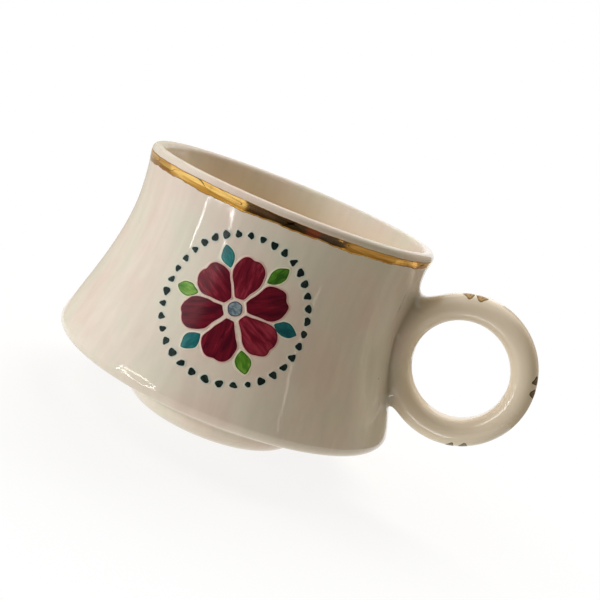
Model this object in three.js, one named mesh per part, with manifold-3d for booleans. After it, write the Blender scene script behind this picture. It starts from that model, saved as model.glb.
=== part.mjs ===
// Coffee cup: a cast bowl with a round shoulder, a waist and a flared lip, and a ring handle luted to it.
// A gilt band runs under the lip, gilt dabs sit on the ring, and raised enamel makes a medallion in front.
// Millimetres, +Z up. The origin is on the bowl's axis at its standing face, and the handle is along +X.

import * as THREE from 'three';
import { mergeVertices } from 'three/addons/utils/BufferGeometryUtils.js';
import loadManifold from 'manifold-3d';

const wasm = await loadManifold();
wasm.setup();

// Bowl
const HEIGHT = 61;
const RIM_RADIUS = 37;
const LIP_ROUND = 1.5; // half the lip's thickness
const WAIST_RADIUS = 35.9; // where the wall is narrowest
const WAIST_DROP = 13.5; // from the rim down to the waist
const FLARE_PULL = 5; // how far the wall stays upright above the waist
const WAIST_PULL = 14; // and below it
const SHOULDER_RADIUS = 43.6; // where the wall is widest
const SHOULDER_HEIGHT = 13.8;
const SHOULDER_ROUND = 2.6;
const SHOULDER_PULL = 2; // how far the wall stays upright above the shoulder
const FOOT_RADIUS = 23.3; // at the crease under the bowl
const FOOT_HEIGHT = 5.6;
const STANDING_RADIUS = 15.7;
const WALL = 3.2;
const FLOOR = 5; // thickness at the axis
const FLOOR_ROUND = 5.4; // width of the round between wall and floor

// Ring handle, and the clay worked in where it meets the wall
const BORE_RADIUS = 12;
const RING_THICKNESS = 6.5;
const RING_DEPTH = 9;
const RING_CORNER = 2.6;
const RING_DROP = 4.2; // from the rim down to the top of the ring
const SADDLE_DEPTH = 1.7; // how far the ring is cut back to seat on the wall
const UPPER_FILLET = 2.5;
const LOWER_FILLET = 1.1;
const LUTING_ROOT = 1.4; // thickness of the clay at the narrow end of its wedge
const LUTING_DEPTH = 7;

// Gilding
const BAND_DROP = 0.2; // below the start of the lip's round
const BAND_WIDTH = 2.2;
const DAB_RADIUS = 0.8;
const DAB_TIP = 1.5; // from the middle of a dab's round end to its point
const DAB_SPACING = 3.2;
const DAB_PAIRS = [101, 10, -69]; // degrees round the ring, up from its outermost point

// Enamel medallion
const MEDALLION_TURN = -82; // degrees round the bowl from the handle
const MEDALLION_RISE = 0.2; // from the middle of the wall up to the medallion's centre
const PETALS = 6;
const PETAL_REACH = 12;
const PETAL_GAP = 0.8;
const HEART_RADIUS = 1.7;
const LEAF_TUCK = 2; // from the line through the petals' round ends out to the leaf's stalk
const LEAF_LENGTH = 5.4;
const LEAF_WIDTH = 3.2;
const LEAF_MARGIN = 1.2;
const DOTS = 36;
const DOT_RADIUS = 0.8;

// Layers laid on the glaze, and the gap that every seated piece keeps to its neighbour
const FILM = 0.3;
const FILM_EDGE = 0.12;
const FIT_GAP = 0.3;

// Fineness of the facets
const TURN_STEPS = 56;
const CURVE_STEPS = 5;
const WELD = 1e-4;

const radians = THREE.MathUtils.degToRad;
const point = (x, y) => new THREE.Vector2(x, y);

// Finishes
function finish(color, roughness, metalness = 0) {
  return new THREE.MeshStandardMaterial({ color, roughness, metalness });
}
const glaze = finish('#ddd2c4', 0.18);
const gilt = finish('#b98a2e', 0.25, 1);
const crimson = finish('#74152a', 0.35);
const slate = finish('#5c7484', 0.35);
const green = finish('#5f9a2c', 0.35);
const teal = finish('#2f8f8f', 0.35);
const pine = finish('#2e4440', 0.4);

// The bowl's outside, from the standing face up to the lip
const lipHeight = HEIGHT - LIP_ROUND;
const waistHeight = HEIGHT - WAIST_DROP;
const foot = new THREE.EllipseCurve(
  STANDING_RADIUS, FOOT_HEIGHT, FOOT_RADIUS - STANDING_RADIUS, FOOT_HEIGHT, -Math.PI / 2, 0);
const shoulder = shoulderCurve();
const wall = new THREE.CubicBezierCurve(
  point(SHOULDER_RADIUS, SHOULDER_HEIGHT),
  point(SHOULDER_RADIUS, SHOULDER_HEIGHT + SHOULDER_PULL),
  point(WAIST_RADIUS, waistHeight - WAIST_PULL),
  point(WAIST_RADIUS, waistHeight));
const flare = new THREE.QuadraticBezierCurve(
  point(WAIST_RADIUS, waistHeight),
  point(WAIST_RADIUS, waistHeight + FLARE_PULL),
  point(RIM_RADIUS, lipHeight));

// The outside that pieces are laid on: wall and flare as one curve, measured along its length
const outside = new THREE.CurvePath();
outside.add(wall);
outside.add(flare);
const outsideLength = outside.getLength();

// The ring's centre follows from its seat in the wall and its drop below the lip
const ringOuter = BORE_RADIUS + RING_THICKNESS;
const ringMiddle = BORE_RADIUS + RING_THICKNESS / 2;
const ringHeight = HEIGHT - RING_DROP - ringOuter;
const seatAlong = alongAtHeight(ringHeight);
const ringCentre = point(onOutside(seatAlong).x - SADDLE_DEPTH + ringOuter, ringHeight);

// The round of the shoulder, which runs tangent into the straight underside that rises from the foot.
function shoulderCurve() {
  const centre = point(SHOULDER_RADIUS - SHOULDER_ROUND, SHOULDER_HEIGHT);
  const toFoot = point(FOOT_RADIUS, FOOT_HEIGHT).sub(centre);
  const start = toFoot.angle() + Math.acos(SHOULDER_ROUND / toFoot.length());
  return new THREE.EllipseCurve(
    centre.x, centre.y, SHOULDER_ROUND, SHOULDER_ROUND, start, 2 * Math.PI);
}

// Points along a curve, moved out square to it by lift.
function trace(curve, steps, lift = 0) {
  const shares = Array.from({ length: steps + 1 }, (_, i) => i / steps);
  return shares.map((share) => lifted(curve.getPoint(share), curve.getTangent(share), lift));
}

// A point moved square to a rising tangent, away from the bowl's axis.
function lifted(at, tangent, lift) {
  return point(at.x + tangent.y * lift, at.y - tangent.x * lift);
}

// The point at a length along the outside above the shoulder, moved out by lift.
function onOutside(along, lift = 0) {
  const share = along / outsideLength;
  return lifted(outside.getPointAt(share), outside.getTangentAt(share), lift);
}

// Where a measure that is negative at one length passes zero on the way to the other.
function solve(measure, from, to) {
  const middle = (from + to) / 2;
  if (Math.abs(to - from) < WELD) return middle;
  return measure(middle) < 0 ? solve(measure, middle, to) : solve(measure, from, middle);
}

function alongAtHeight(height) {
  return solve((along) => onOutside(along).y - height, 0, outsideLength);
}

// A profile of radius and height turned about the bowl's axis.
function turned(profile) {
  return new THREE.LatheGeometry(profile, TURN_STEPS).rotateX(Math.PI / 2);
}

// A closed geometry as a solid for cutting.
function toSolid(geometry) {
  geometry.deleteAttribute('normal');
  geometry.deleteAttribute('uv');
  const welded = mergeVertices(geometry, WELD);
  const corners = welded.index.array;
  const kept = [];
  for (let i = 0; i < corners.length; i += 3) {
    const [a, b, c] = corners.slice(i, i + 3);
    if (a !== b && b !== c && c !== a) kept.push(a, b, c);
  }
  return new wasm.Manifold(new wasm.Mesh({
    numProp: 3,
    vertProperties: welded.attributes.position.array,
    triVerts: new Uint32Array(kept),
  }));
}

function toGeometry(solid) {
  const mesh = solid.getMesh();
  return meshOf(mesh.vertProperties, mesh.triVerts);
}

function meshOf(positions, corners) {
  const geometry = new THREE.BufferGeometry();
  geometry.setAttribute('position', new THREE.Float32BufferAttribute(positions, 3));
  geometry.setIndex([...corners]);
  geometry.computeVertexNormals();
  return geometry;
}

// The bowl: one wall turned about the axis, from the standing face round the lip to the dished floor.
function cupBody() {
  const inside = WAIST_RADIUS - WALL;
  const lip = new THREE.EllipseCurve(RIM_RADIUS - LIP_ROUND, lipHeight, LIP_ROUND, LIP_ROUND, 0, Math.PI);
  const innerFlare = new THREE.QuadraticBezierCurve(
    point(RIM_RADIUS - 2 * LIP_ROUND, lipHeight),
    point(inside, waistHeight + FLARE_PULL),
    point(inside, waistHeight));
  const underside = shoulder.getPoint(0).sub(point(FOOT_RADIUS, FOOT_HEIGHT));
  const floorStart = point(SHOULDER_RADIUS - WALL - FLOOR_ROUND, 0);
  const rise = underside.y / underside.x;
  floorStart.y = FOOT_HEIGHT + (floorStart.x - FOOT_RADIUS) * rise + WALL * Math.hypot(1, rise);
  const floorPull = point(STANDING_RADIUS, FLOOR);
  const floorRise = (floorStart.y - floorPull.y) / (floorStart.x - floorPull.x);
  const belly = SHOULDER_RADIUS - WALL / 2;
  const innerWall = new THREE.CubicBezierCurve(
    point(inside, waistHeight),
    point(inside, waistHeight - WAIST_PULL),
    point(belly, floorStart.y + (belly - floorStart.x) * floorRise),
    floorStart);
  const floor = new THREE.QuadraticBezierCurve(floorStart, floorPull, point(0, FLOOR));
  return turned([
    point(0, 0),
    ...trace(foot, CURVE_STEPS),
    ...trace(shoulder, CURVE_STEPS),
    ...trace(wall, 2 * CURVE_STEPS).slice(1),
    ...trace(flare, CURVE_STEPS).slice(1),
    ...trace(lip, CURVE_STEPS + 1).slice(1),
    ...trace(innerFlare, CURVE_STEPS).slice(1),
    ...trace(innerWall, 2 * CURVE_STEPS).slice(1),
    ...trace(floor, CURVE_STEPS).slice(1),
  ]);
}

// The bowl's outside, filled in and grown by the fit gap, to cut what seats on the wall.
function bowlCutter() {
  const edge = [
    ...trace(shoulder, CURVE_STEPS, FIT_GAP),
    ...trace(wall, 2 * CURVE_STEPS, FIT_GAP).slice(1),
    ...trace(flare, CURVE_STEPS, FIT_GAP).slice(1),
  ];
  const bottom = point(0, edge[0].y);
  const top = point(0, edge[edge.length - 1].y);
  return toSolid(turned([bottom, ...edge, top]));
}

// The whole ring, with rounded corners on its section, grown by a clearance where it serves as a cutter.
function wholeRing(grow) {
  const corner = RING_CORNER + grow;
  const inner = BORE_RADIUS + RING_CORNER;
  const outer = ringOuter - RING_CORNER;
  const side = RING_DEPTH / 2 - RING_CORNER;
  const corners = [[outer, -side], [outer, side], [inner, side], [inner, -side]];
  const section = corners.flatMap(([radius, across], i) => {
    const start = (i - 1) * Math.PI / 2;
    const round = new THREE.EllipseCurve(radius, across, corner, corner, start, start + Math.PI / 2);
    return trace(round, CURVE_STEPS - 2);
  });
  const ring = new THREE.LatheGeometry([...section, section[0]], TURN_STEPS);
  return toSolid(ring.translate(ringCentre.x, 0, ringCentre.y));
}

// The length along the outside where a point lifted off the wall is at a reach from the ring's outer circle.
function wallNearRing(end, lift, reach) {
  const clear = (along) => onOutside(along, lift).distanceTo(ringCentre) - ringOuter - reach;
  return solve(clear, seatAlong, end);
}

// Clay worked into the wedge between ring and wall, hollowed by a round that runs tangent into both.
function luting(end, fillet) {
  const root = onOutside(wallNearRing(end, 0, LUTING_ROOT));
  const touch = wallNearRing(end, fillet, fillet);
  const centre = onOutside(touch, fillet);
  const atWall = onOutside(touch);
  const towardsRing = ringCentre.clone().sub(centre).normalize();
  const inRing = (from) => from.clone().sub(ringCentre).setLength(ringMiddle).add(ringCentre);
  const inWall = (from) => point(from.x - WALL / 2, from.y);
  const start = atWall.clone().sub(centre).angle();
  const shape = new THREE.Shape();
  shape.moveTo(inWall(root).x, root.y);
  shape.lineTo(inWall(atWall).x, atWall.y);
  shape.lineTo(atWall.x, atWall.y);
  shape.absarc(centre.x, centre.y, fillet, start, towardsRing.angle(), end < seatAlong);
  shape.lineTo(inRing(centre).x, inRing(centre).y);
  shape.lineTo(inRing(root).x, inRing(root).y);
  const wedge = new THREE.ExtrudeGeometry(
    shape, { depth: LUTING_DEPTH, bevelEnabled: false, curveSegments: CURVE_STEPS });
  wedge.rotateX(Math.PI / 2).translate(0, LUTING_DEPTH / 2, 0);
  return toGeometry(toSolid(wedge).subtract(wholeRing(FIT_GAP)).subtract(bowlCutter()));
}

// The gilt band: a thin hoop that follows the flare just under the lip.
function rimBand() {
  const top = outsideLength - BAND_DROP;
  const hoop = (lift) => Array.from({ length: CURVE_STEPS - 1 }, (_, i) =>
    onOutside(top - BAND_WIDTH + BAND_WIDTH * i / (CURVE_STEPS - 2), lift));
  const section = [...hoop(FIT_GAP + FILM), ...hoop(FIT_GAP).reverse()];
  return turned([...section, section[0]]);
}

// A domed film with the given outline, laid on a surface by place(across, up, lift).
function film(outline, place) {
  const count = outline.length;
  const middle = outline.reduce((sum, at) => sum.add(at), point(0, 0)).divideScalar(count);
  const halfway = outline.map((at) => at.clone().lerp(middle, 0.5));
  const crown = FILM_EDGE + (FILM - FILM_EDGE) * 0.75;
  const layer = (edge, half, top) => [
    ...outline.map((at) => place(at.x, at.y, FIT_GAP + edge)),
    ...halfway.map((at) => place(at.x, at.y, FIT_GAP + half)),
    place(middle.x, middle.y, FIT_GAP + top),
  ];
  const places = [...layer(FILM_EDGE, crown, FILM), ...layer(0, 0, 0)];
  const under = 2 * count + 1;
  const corners = [];
  for (let i = 0; i < count; i += 1) {
    const next = (i + 1) % count;
    const inner = count + i;
    const innerNext = count + next;
    const faces = [[i, next, inner], [next, innerNext, inner], [inner, innerNext, 2 * count]];
    for (const [a, b, c] of faces) corners.push(a, b, c, under + a, under + c, under + b);
    corners.push(i, under + i, next, next, under + i, under + next);
  }
  return meshOf(places.flatMap((at) => at.toArray()), corners);
}

// Places on the wall about the medallion's centre, for a medallion that faces +X.
const medallionAlong = outsideLength / 2 + MEDALLION_RISE;
const medallionRadius = onOutside(medallionAlong).x;
function onWall(across, up, lift) {
  const at = onOutside(medallionAlong + up, lift);
  const angle = across / medallionRadius;
  return new THREE.Vector3(at.x * Math.cos(angle), at.x * Math.sin(angle), at.y);
}

// Places on the ring's outer face about a point on its middle line.
function onRing(turn) {
  return (across, up, lift) => {
    const angle = radians(turn) + up / ringOuter;
    const reach = ringOuter + lift;
    return new THREE.Vector3(
      ringCentre.x + reach * Math.cos(angle), across, ringCentre.y + reach * Math.sin(angle));
  };
}

// The outline of a shape without its repeated last point.
function outlineOf(shape) {
  const points = shape.getPoints(CURVE_STEPS);
  return points[0].distanceTo(points[points.length - 1]) < WELD ? points.slice(0, -1) : points;
}

// An outline moved out from the medallion's centre and turned about it.
function spoke(outline, reach, angle) {
  return outline.map((at) => point(at.x + reach, at.y).rotateAround(point(0, 0), angle));
}

function disc(radius) {
  return outlineOf(new THREE.Shape().absarc(0, 0, radius, 0, 2 * Math.PI));
}

// A drop: a round end about the origin that narrows in straight sides to a tip.
function drop(radius, tip) {
  const side = Math.acos(radius / tip);
  const shape = new THREE.Shape();
  shape.moveTo(0, tip);
  shape.absarc(0, 0, radius, Math.PI / 2 + side, 2.5 * Math.PI - side);
  shape.closePath();
  return outlineOf(shape);
}

// A petal fills one sector up to the gap: straight sides from the heart, then a round end tangent to both.
const half = Math.PI / PETALS;
const petalCentre = (PETAL_REACH + PETAL_GAP / 2) / (1 + Math.sin(half));
const petalRound = PETAL_REACH - petalCentre;
function petal() {
  const start = HEART_RADIUS + PETAL_GAP;
  const width = start * Math.tan(half) - PETAL_GAP / 2 / Math.cos(half);
  const shape = new THREE.Shape();
  shape.moveTo(start, width);
  shape.lineTo(start, -width);
  shape.absarc(petalCentre, 0, petalRound, -Math.PI / 2 - half, Math.PI / 2 + half);
  shape.closePath();
  return outlineOf(shape);
}

// A leaf pointed at both ends, from its stalk along +X.
function leaf() {
  const shape = new THREE.Shape();
  shape.quadraticCurveTo(LEAF_LENGTH / 2, -LEAF_WIDTH, LEAF_LENGTH, 0);
  shape.quadraticCurveTo(LEAF_LENGTH / 2, LEAF_WIDTH, 0, 0);
  return outlineOf(shape);
}

function add(group, name, geometry, material) {
  const mesh = new THREE.Mesh(geometry, material);
  mesh.name = name;
  group.add(mesh);
}

function handle() {
  const group = new THREE.Group();
  add(group, 'ring_handle', toGeometry(wholeRing(0).subtract(bowlCutter())), glaze);
  add(group, 'upper_luting', luting(outsideLength, UPPER_FILLET), glaze);
  add(group, 'lower_luting', luting(0, LOWER_FILLET), glaze);
  const step = THREE.MathUtils.radToDeg(DAB_SPACING / ringOuter) / 2;
  const turns = DAB_PAIRS.flatMap((turn) => [turn + step, turn - step]);
  const dab = drop(DAB_RADIUS, DAB_TIP);
  turns.forEach((turn, i) => add(group, `handle_dab_${i + 1}`, film(dab, onRing(turn)), gilt));
  return group;
}

function medallion() {
  const group = new THREE.Group();
  const leafStart = petalCentre * Math.cos(half) + LEAF_TUCK;
  const dotReach = leafStart + LEAF_LENGTH + LEAF_MARGIN + DOT_RADIUS;
  for (let i = 0; i < PETALS; i += 1) {
    const angle = Math.PI / 2 + 2 * half * i;
    const tint = i % 2 ? green : teal;
    add(group, `petal_${i + 1}`, film(spoke(petal(), 0, angle), onWall), crimson);
    add(group, `leaf_${i + 1}`, film(spoke(leaf(), leafStart, angle + half), onWall), tint);
  }
  add(group, 'flower_heart', film(disc(HEART_RADIUS), onWall), slate);
  for (let i = 0; i < DOTS; i += 1) {
    const angle = 2 * Math.PI * i / DOTS;
    add(group, `dot_${i + 1}`, film(spoke(disc(DOT_RADIUS), dotReach, angle), onWall), pine);
  }
  group.rotation.z = radians(MEDALLION_TURN);
  return group;
}

const cup = new THREE.Group();
add(cup, 'cup_body', cupBody(), glaze);
add(cup, 'rim_band', rimBand(), gilt);
cup.add(handle());
cup.add(medallion());

export default cup;
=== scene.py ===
"""Looks of a glazed coffee cup: bowl, ring handle, gilding and an enamelled rosette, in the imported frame.

Sizes are millimetres in the cup's own frame: +Z up from the standing face, the ring handle along +X and the
rosette towards -Y. Meshes are written in metres.
"""

import logging
import math
from collections.abc import Sequence
from dataclasses import dataclass, replace
from enum import Enum

import bpy
import numpy as np
import openvdb
from bpy.types import ID, Collection, Material, Node, NodeOutputs, NodeSocket, NodeTree, Object, World
from mathutils import Matrix, Vector

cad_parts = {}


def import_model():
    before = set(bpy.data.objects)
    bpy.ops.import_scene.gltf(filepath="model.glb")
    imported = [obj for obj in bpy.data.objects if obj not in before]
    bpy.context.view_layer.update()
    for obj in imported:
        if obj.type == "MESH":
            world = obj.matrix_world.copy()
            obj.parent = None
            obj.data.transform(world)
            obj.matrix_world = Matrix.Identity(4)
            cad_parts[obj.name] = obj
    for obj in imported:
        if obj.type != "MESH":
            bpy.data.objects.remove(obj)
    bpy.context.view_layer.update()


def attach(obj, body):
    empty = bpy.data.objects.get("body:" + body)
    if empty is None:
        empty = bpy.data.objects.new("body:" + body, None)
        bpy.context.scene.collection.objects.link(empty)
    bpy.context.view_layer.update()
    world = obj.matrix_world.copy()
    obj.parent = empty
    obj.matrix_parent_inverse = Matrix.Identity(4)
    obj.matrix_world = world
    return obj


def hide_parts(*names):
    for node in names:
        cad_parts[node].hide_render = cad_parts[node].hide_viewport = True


log = logging.getLogger("coffee_cup")

MM = 0.001  # metres in a millimetre
BODY = "root"  # nothing on the cup moves, so it has one body
SEED = 7
WELD = 0.001  # points closer than this become one
NOISE_MEAN = 0.5  # average of a noise texture
LAYING_STEPS = 96  # stretches of the wall that strokes are laid along
NO_PAINTED_SHADE = (-9.0, -8.0)  # lies outside every stroke, so that no part of it takes the painted shade
MIRRORED = ("camera", "diffuse", "transmission", "volume_scatter")  # rays that don't see a mirrored light

Point = tuple[float, float]
Value = NodeSocket | Node | float | int | str | Sequence[float] | ID


class Slot(Enum):
    """Names of the material slots for the cup's finishes."""

    BOWL = "bowl_glaze"
    HANDLE = "handle_glaze"
    GILDING = "gilding"
    CRIMSON = "crimson_enamel"
    SLATE = "slate_enamel"
    TEAL = "teal_enamel"
    GREEN = "green_enamel"
    PINE = "pine_enamel"


def linear(colour: str) -> tuple[float, float, float, float]:
    """Turns an sRGB hex value into a linear colour.

    Args:
        colour: Six hex digits after a number sign.

    Returns:
        Red, green, blue and full opacity.
    """
    shares = [int(colour[i:i + 2], 16) / 255 for i in (1, 3, 5)]
    levels = [s / 12.92 if s <= 0.04045 else ((s + 0.055) / 1.055) ** 2.4 for s in shares]
    return (*levels, 1.0)


def per_size(size: float) -> float:
    """Gives the texture scale whose features are about this many millimetres across."""
    return 1 / (size * MM)


def add_node(tree: NodeTree, kind: str, inputs: dict[str | int, Value] | None = None,
             stops: Sequence[tuple[float, str]] = (), **settings: object) -> Node:
    """Adds a node, sets it up and links it.

    Args:
        tree: Node tree that takes the node.
        kind: Blender's name of the node type.
        inputs: Sockets by name or number, each with a constant, a socket to link, or a node whose first
            output is linked.
        stops: Places and hex colours of a colour ramp, its two ends first.
        settings: Properties of the node.

    Returns:
        The new node.
    """
    node = tree.nodes.new(kind)
    for name, value in settings.items():
        setattr(node, name, value)
    for key, value in (inputs or {}).items():
        source = value.outputs[0] if isinstance(value, Node) else value
        if isinstance(source, NodeSocket):
            tree.links.new(source, node.inputs[key])
        else:
            node.inputs[key].default_value = source
    for number, (place, colour) in enumerate(stops):
        marks = node.color_ramp.elements
        mark = marks[number] if number < 2 else marks.new(place)
        mark.position = place
        mark.color = linear(colour)
    return node


def bezier(points: Sequence[Point], steps: int) -> np.ndarray:
    """Traces a Bezier curve of any degree.

    Args:
        points: Its control points.
        steps: Number of stretches.

    Returns:
        The points along it, one row each.
    """
    share = np.linspace(0, 1, steps + 1)[:, None]
    layer = [np.asarray(point, float) for point in points]
    while len(layer) > 1:
        layer = [a + (b - a) * share for a, b in zip(layer, layer[1:])]
    return layer[0]


def arc(centre: Point, radii: Point, start: float, end: float, steps: int) -> np.ndarray:
    """Traces an arc of an upright ellipse.

    Args:
        centre: Middle of the ellipse.
        radii: Its half width and half height.
        start: First angle in degrees.
        end: Last angle in degrees.
        steps: Number of stretches.

    Returns:
        The points along it, one row each.
    """
    angles = np.radians(np.linspace(start, end, steps + 1))
    return np.asarray(centre) + np.stack([radii[0] * np.cos(angles), radii[1] * np.sin(angles)], 1)


def circle(radius: float, points: int) -> np.ndarray:
    """Traces a circle round the origin with this many points."""
    return arc((0, 0), (radius, radius), 0, 360 - 360 / points, points - 1)


def lengths(points: np.ndarray) -> np.ndarray:
    """Gives the length along a line of points up to each of them."""
    return np.concatenate([[0.0], np.cumsum(np.linalg.norm(np.diff(points, axis=0), axis=1))])


def spaced(points: np.ndarray, count: int, closed: bool = False) -> np.ndarray:
    """Spreads points evenly along a flat line.

    Args:
        points: The line, one row for each of its points.
        count: Number of points to spread.
        closed: Whether the line ends where it starts, so that its end is left out.

    Returns:
        The spread points, one row each.
    """
    along = lengths(points)
    places = np.linspace(0, along[-1], count, endpoint=not closed)
    return np.stack([np.interp(places, along, points[:, i]) for i in range(2)], 1)


def two_sided(face: tuple[int, ...], count: int) -> list[tuple[int, ...]]:
    """Gives a face of a top and the same face of its underside, whose points come this many later."""
    return [face, tuple(count + corner for corner in reversed(face))]


def towards(azimuth: float, elevation: float) -> Vector:
    """Gives the direction this many degrees round from +X and this many up."""
    turn, lift = math.radians(azimuth), math.radians(elevation)
    return Vector((math.cos(turn) * math.cos(lift), math.sin(turn) * math.cos(lift), math.sin(lift)))


def make_object(name: str, data: ID) -> Object:
    """Puts data into the scene as an object at the origin."""
    made = bpy.data.objects.new(name, data)
    bpy.context.scene.collection.objects.link(made)
    return made


def hide_from(thing: Object, rays: Sequence[str]) -> None:
    """Hides an object from kinds of rays."""
    for ray in rays:
        setattr(thing, f"visible_{ray}", False)


def make_lamp(name: str, width: float, height: float, power: float) -> Object:
    """Makes a rectangular lamp.

    Args:
        name: Name of the lamp.
        width: Size along its X, in metres.
        height: Size along its Y, in metres.
        power: Power in watts.

    Returns:
        The lamp, at the origin.
    """
    light = bpy.data.lights.new(name, "AREA")
    light.shape = "RECTANGLE"
    light.size, light.size_y, light.energy = width, height, power
    return make_object(name, light)


def make_mesh(name: str, points: np.ndarray, faces: Sequence[Sequence[int]] = (),
              edges: Sequence[Sequence[int]] = (), **values: np.ndarray) -> Object:
    """Makes a mesh object out of points in millimetres.

    Args:
        name: Name of the object.
        points: One row for each vertex.
        faces: Vertex numbers round each face.
        edges: Vertex numbers of loose edges.
        values: Point attributes by name, one number or one row of three for each vertex.

    Returns:
        The object, shaded smooth.
    """
    mesh = bpy.data.meshes.new(name)
    mesh.from_pydata((np.asarray(points) * MM).tolist(), list(edges), [list(face) for face in faces])
    mesh.shade_smooth()
    for key, rows in values.items():
        kind, part = ("FLOAT_VECTOR", "vector") if np.ndim(rows) == 2 else ("FLOAT", "value")
        attribute = mesh.attributes.new(key, kind, "POINT")
        attribute.data.foreach_set(part, np.asarray(rows, np.float32).ravel())
    return make_object(name, mesh)


def make_line(name: str, profile: np.ndarray) -> Object:
    """Makes a curve object that runs through points of radius and height.

    Args:
        name: Name of the object.
        profile: Radius and height of each point, in millimetres.

    Returns:
        The curve, in the XZ plane.
    """
    curve = bpy.data.curves.new(name, "CURVE")
    curve.dimensions = "3D"
    spline = curve.splines.new("POLY")
    spline.points.add(len(profile) - 1)
    for point, (radius, height) in zip(spline.points, profile):
        point.co = (radius * MM, 0, height * MM, 1)
    return make_object(name, curve)


def fresh_tree(owner: Material | World) -> NodeTree:
    """Gives a material or the world an empty node tree."""
    owner.use_nodes = True
    owner.node_tree.nodes.clear()
    return owner.node_tree


def new_tree(name: str, inputs: dict[str, str]) -> tuple[NodeTree, NodeOutputs]:
    """Starts a geometry tree.

    Args:
        name: Name of the tree.
        inputs: Kinds of the named inputs that follow the geometry.

    Returns:
        The tree and its inputs by name.
    """
    tree = bpy.data.node_groups.new(name, "GeometryNodeTree")
    tree.interface.new_socket("Geometry", in_out="INPUT", socket_type="NodeSocketGeometry")
    tree.interface.new_socket("Geometry", in_out="OUTPUT", socket_type="NodeSocketGeometry")
    for key, kind in inputs.items():
        tree.interface.new_socket(key, in_out="INPUT", socket_type=f"NodeSocket{kind}")
    return tree, add_node(tree, "NodeGroupInput").outputs


def wrap(tree: NodeTree, radius: Value, angle: Value, height: Value) -> Node:
    """Adds the nodes that place points round the Z axis.

    Args:
        tree: Geometry tree.
        radius: Distance from the axis.
        angle: Angle round it, in radians.
        height: Height along it.

    Returns:
        Node whose first output is the place.
    """
    sides = {}
    for side, operation in (("X", "COSINE"), ("Y", "SINE")):
        share = add_node(tree, "ShaderNodeMath", {0: angle}, operation=operation)
        sides[side] = add_node(tree, "ShaderNodeMath", {0: radius, 1: share}, operation="MULTIPLY")
    return add_node(tree, "ShaderNodeCombineXYZ", {**sides, "Z": height})


def end_tree(tree: NodeTree, geometry: Node, material: NodeSocket) -> None:
    """Closes a geometry tree: real meshes, smooth, with their material.

    Args:
        tree: Tree to close.
        geometry: Node whose first output is the shape.
        material: Socket that carries the material.
    """
    real = add_node(tree, "GeometryNodeRealizeInstances", {"Geometry": geometry})
    smooth = add_node(tree, "GeometryNodeSetShadeSmooth", {"Geometry": real})
    dressed = add_node(tree, "GeometryNodeSetMaterial", {"Geometry": smooth, "Material": material})
    add_node(tree, "NodeGroupOutput", {"Geometry": dressed})


def grow(host: Object, tree: NodeTree, inputs: dict[str, Value]) -> Object:
    """Runs a geometry tree on an object and keeps the result as its plain mesh.

    Args:
        host: Object that carries the tree.
        tree: Tree to run.
        inputs: Values of the tree's named inputs. Objects among them are deleted afterwards.

    Returns:
        The same object with its new mesh and no modifier.
    """
    modifier = host.modifiers.new(tree.name, "NODES")
    modifier.node_group = tree
    for item in tree.interface.items_tree:
        if item.in_out == "INPUT" and item.name in inputs:
            modifier[item.identifier] = inputs[item.name]
    depsgraph = bpy.context.evaluated_depsgraph_get()
    grown = host.evaluated_get(depsgraph)
    mesh = bpy.data.meshes.new_from_object(grown, preserve_all_data_layers=True, depsgraph=depsgraph)
    host.modifiers.remove(modifier)
    host.data = mesh
    for value in inputs.values():
        if isinstance(value, Object):
            bpy.data.objects.remove(value)
    return host


def settle(piece: Object, nodes: Sequence[str]) -> None:
    """Ties a finished piece to the frame.

    Args:
        piece: Finished piece.
        nodes: CAD nodes that it stands for.
    """
    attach(piece, BODY)
    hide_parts(*nodes)
    log.info("%s: %d faces, stands for %d nodes", piece.name, len(piece.data.polygons), len(nodes))


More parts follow.
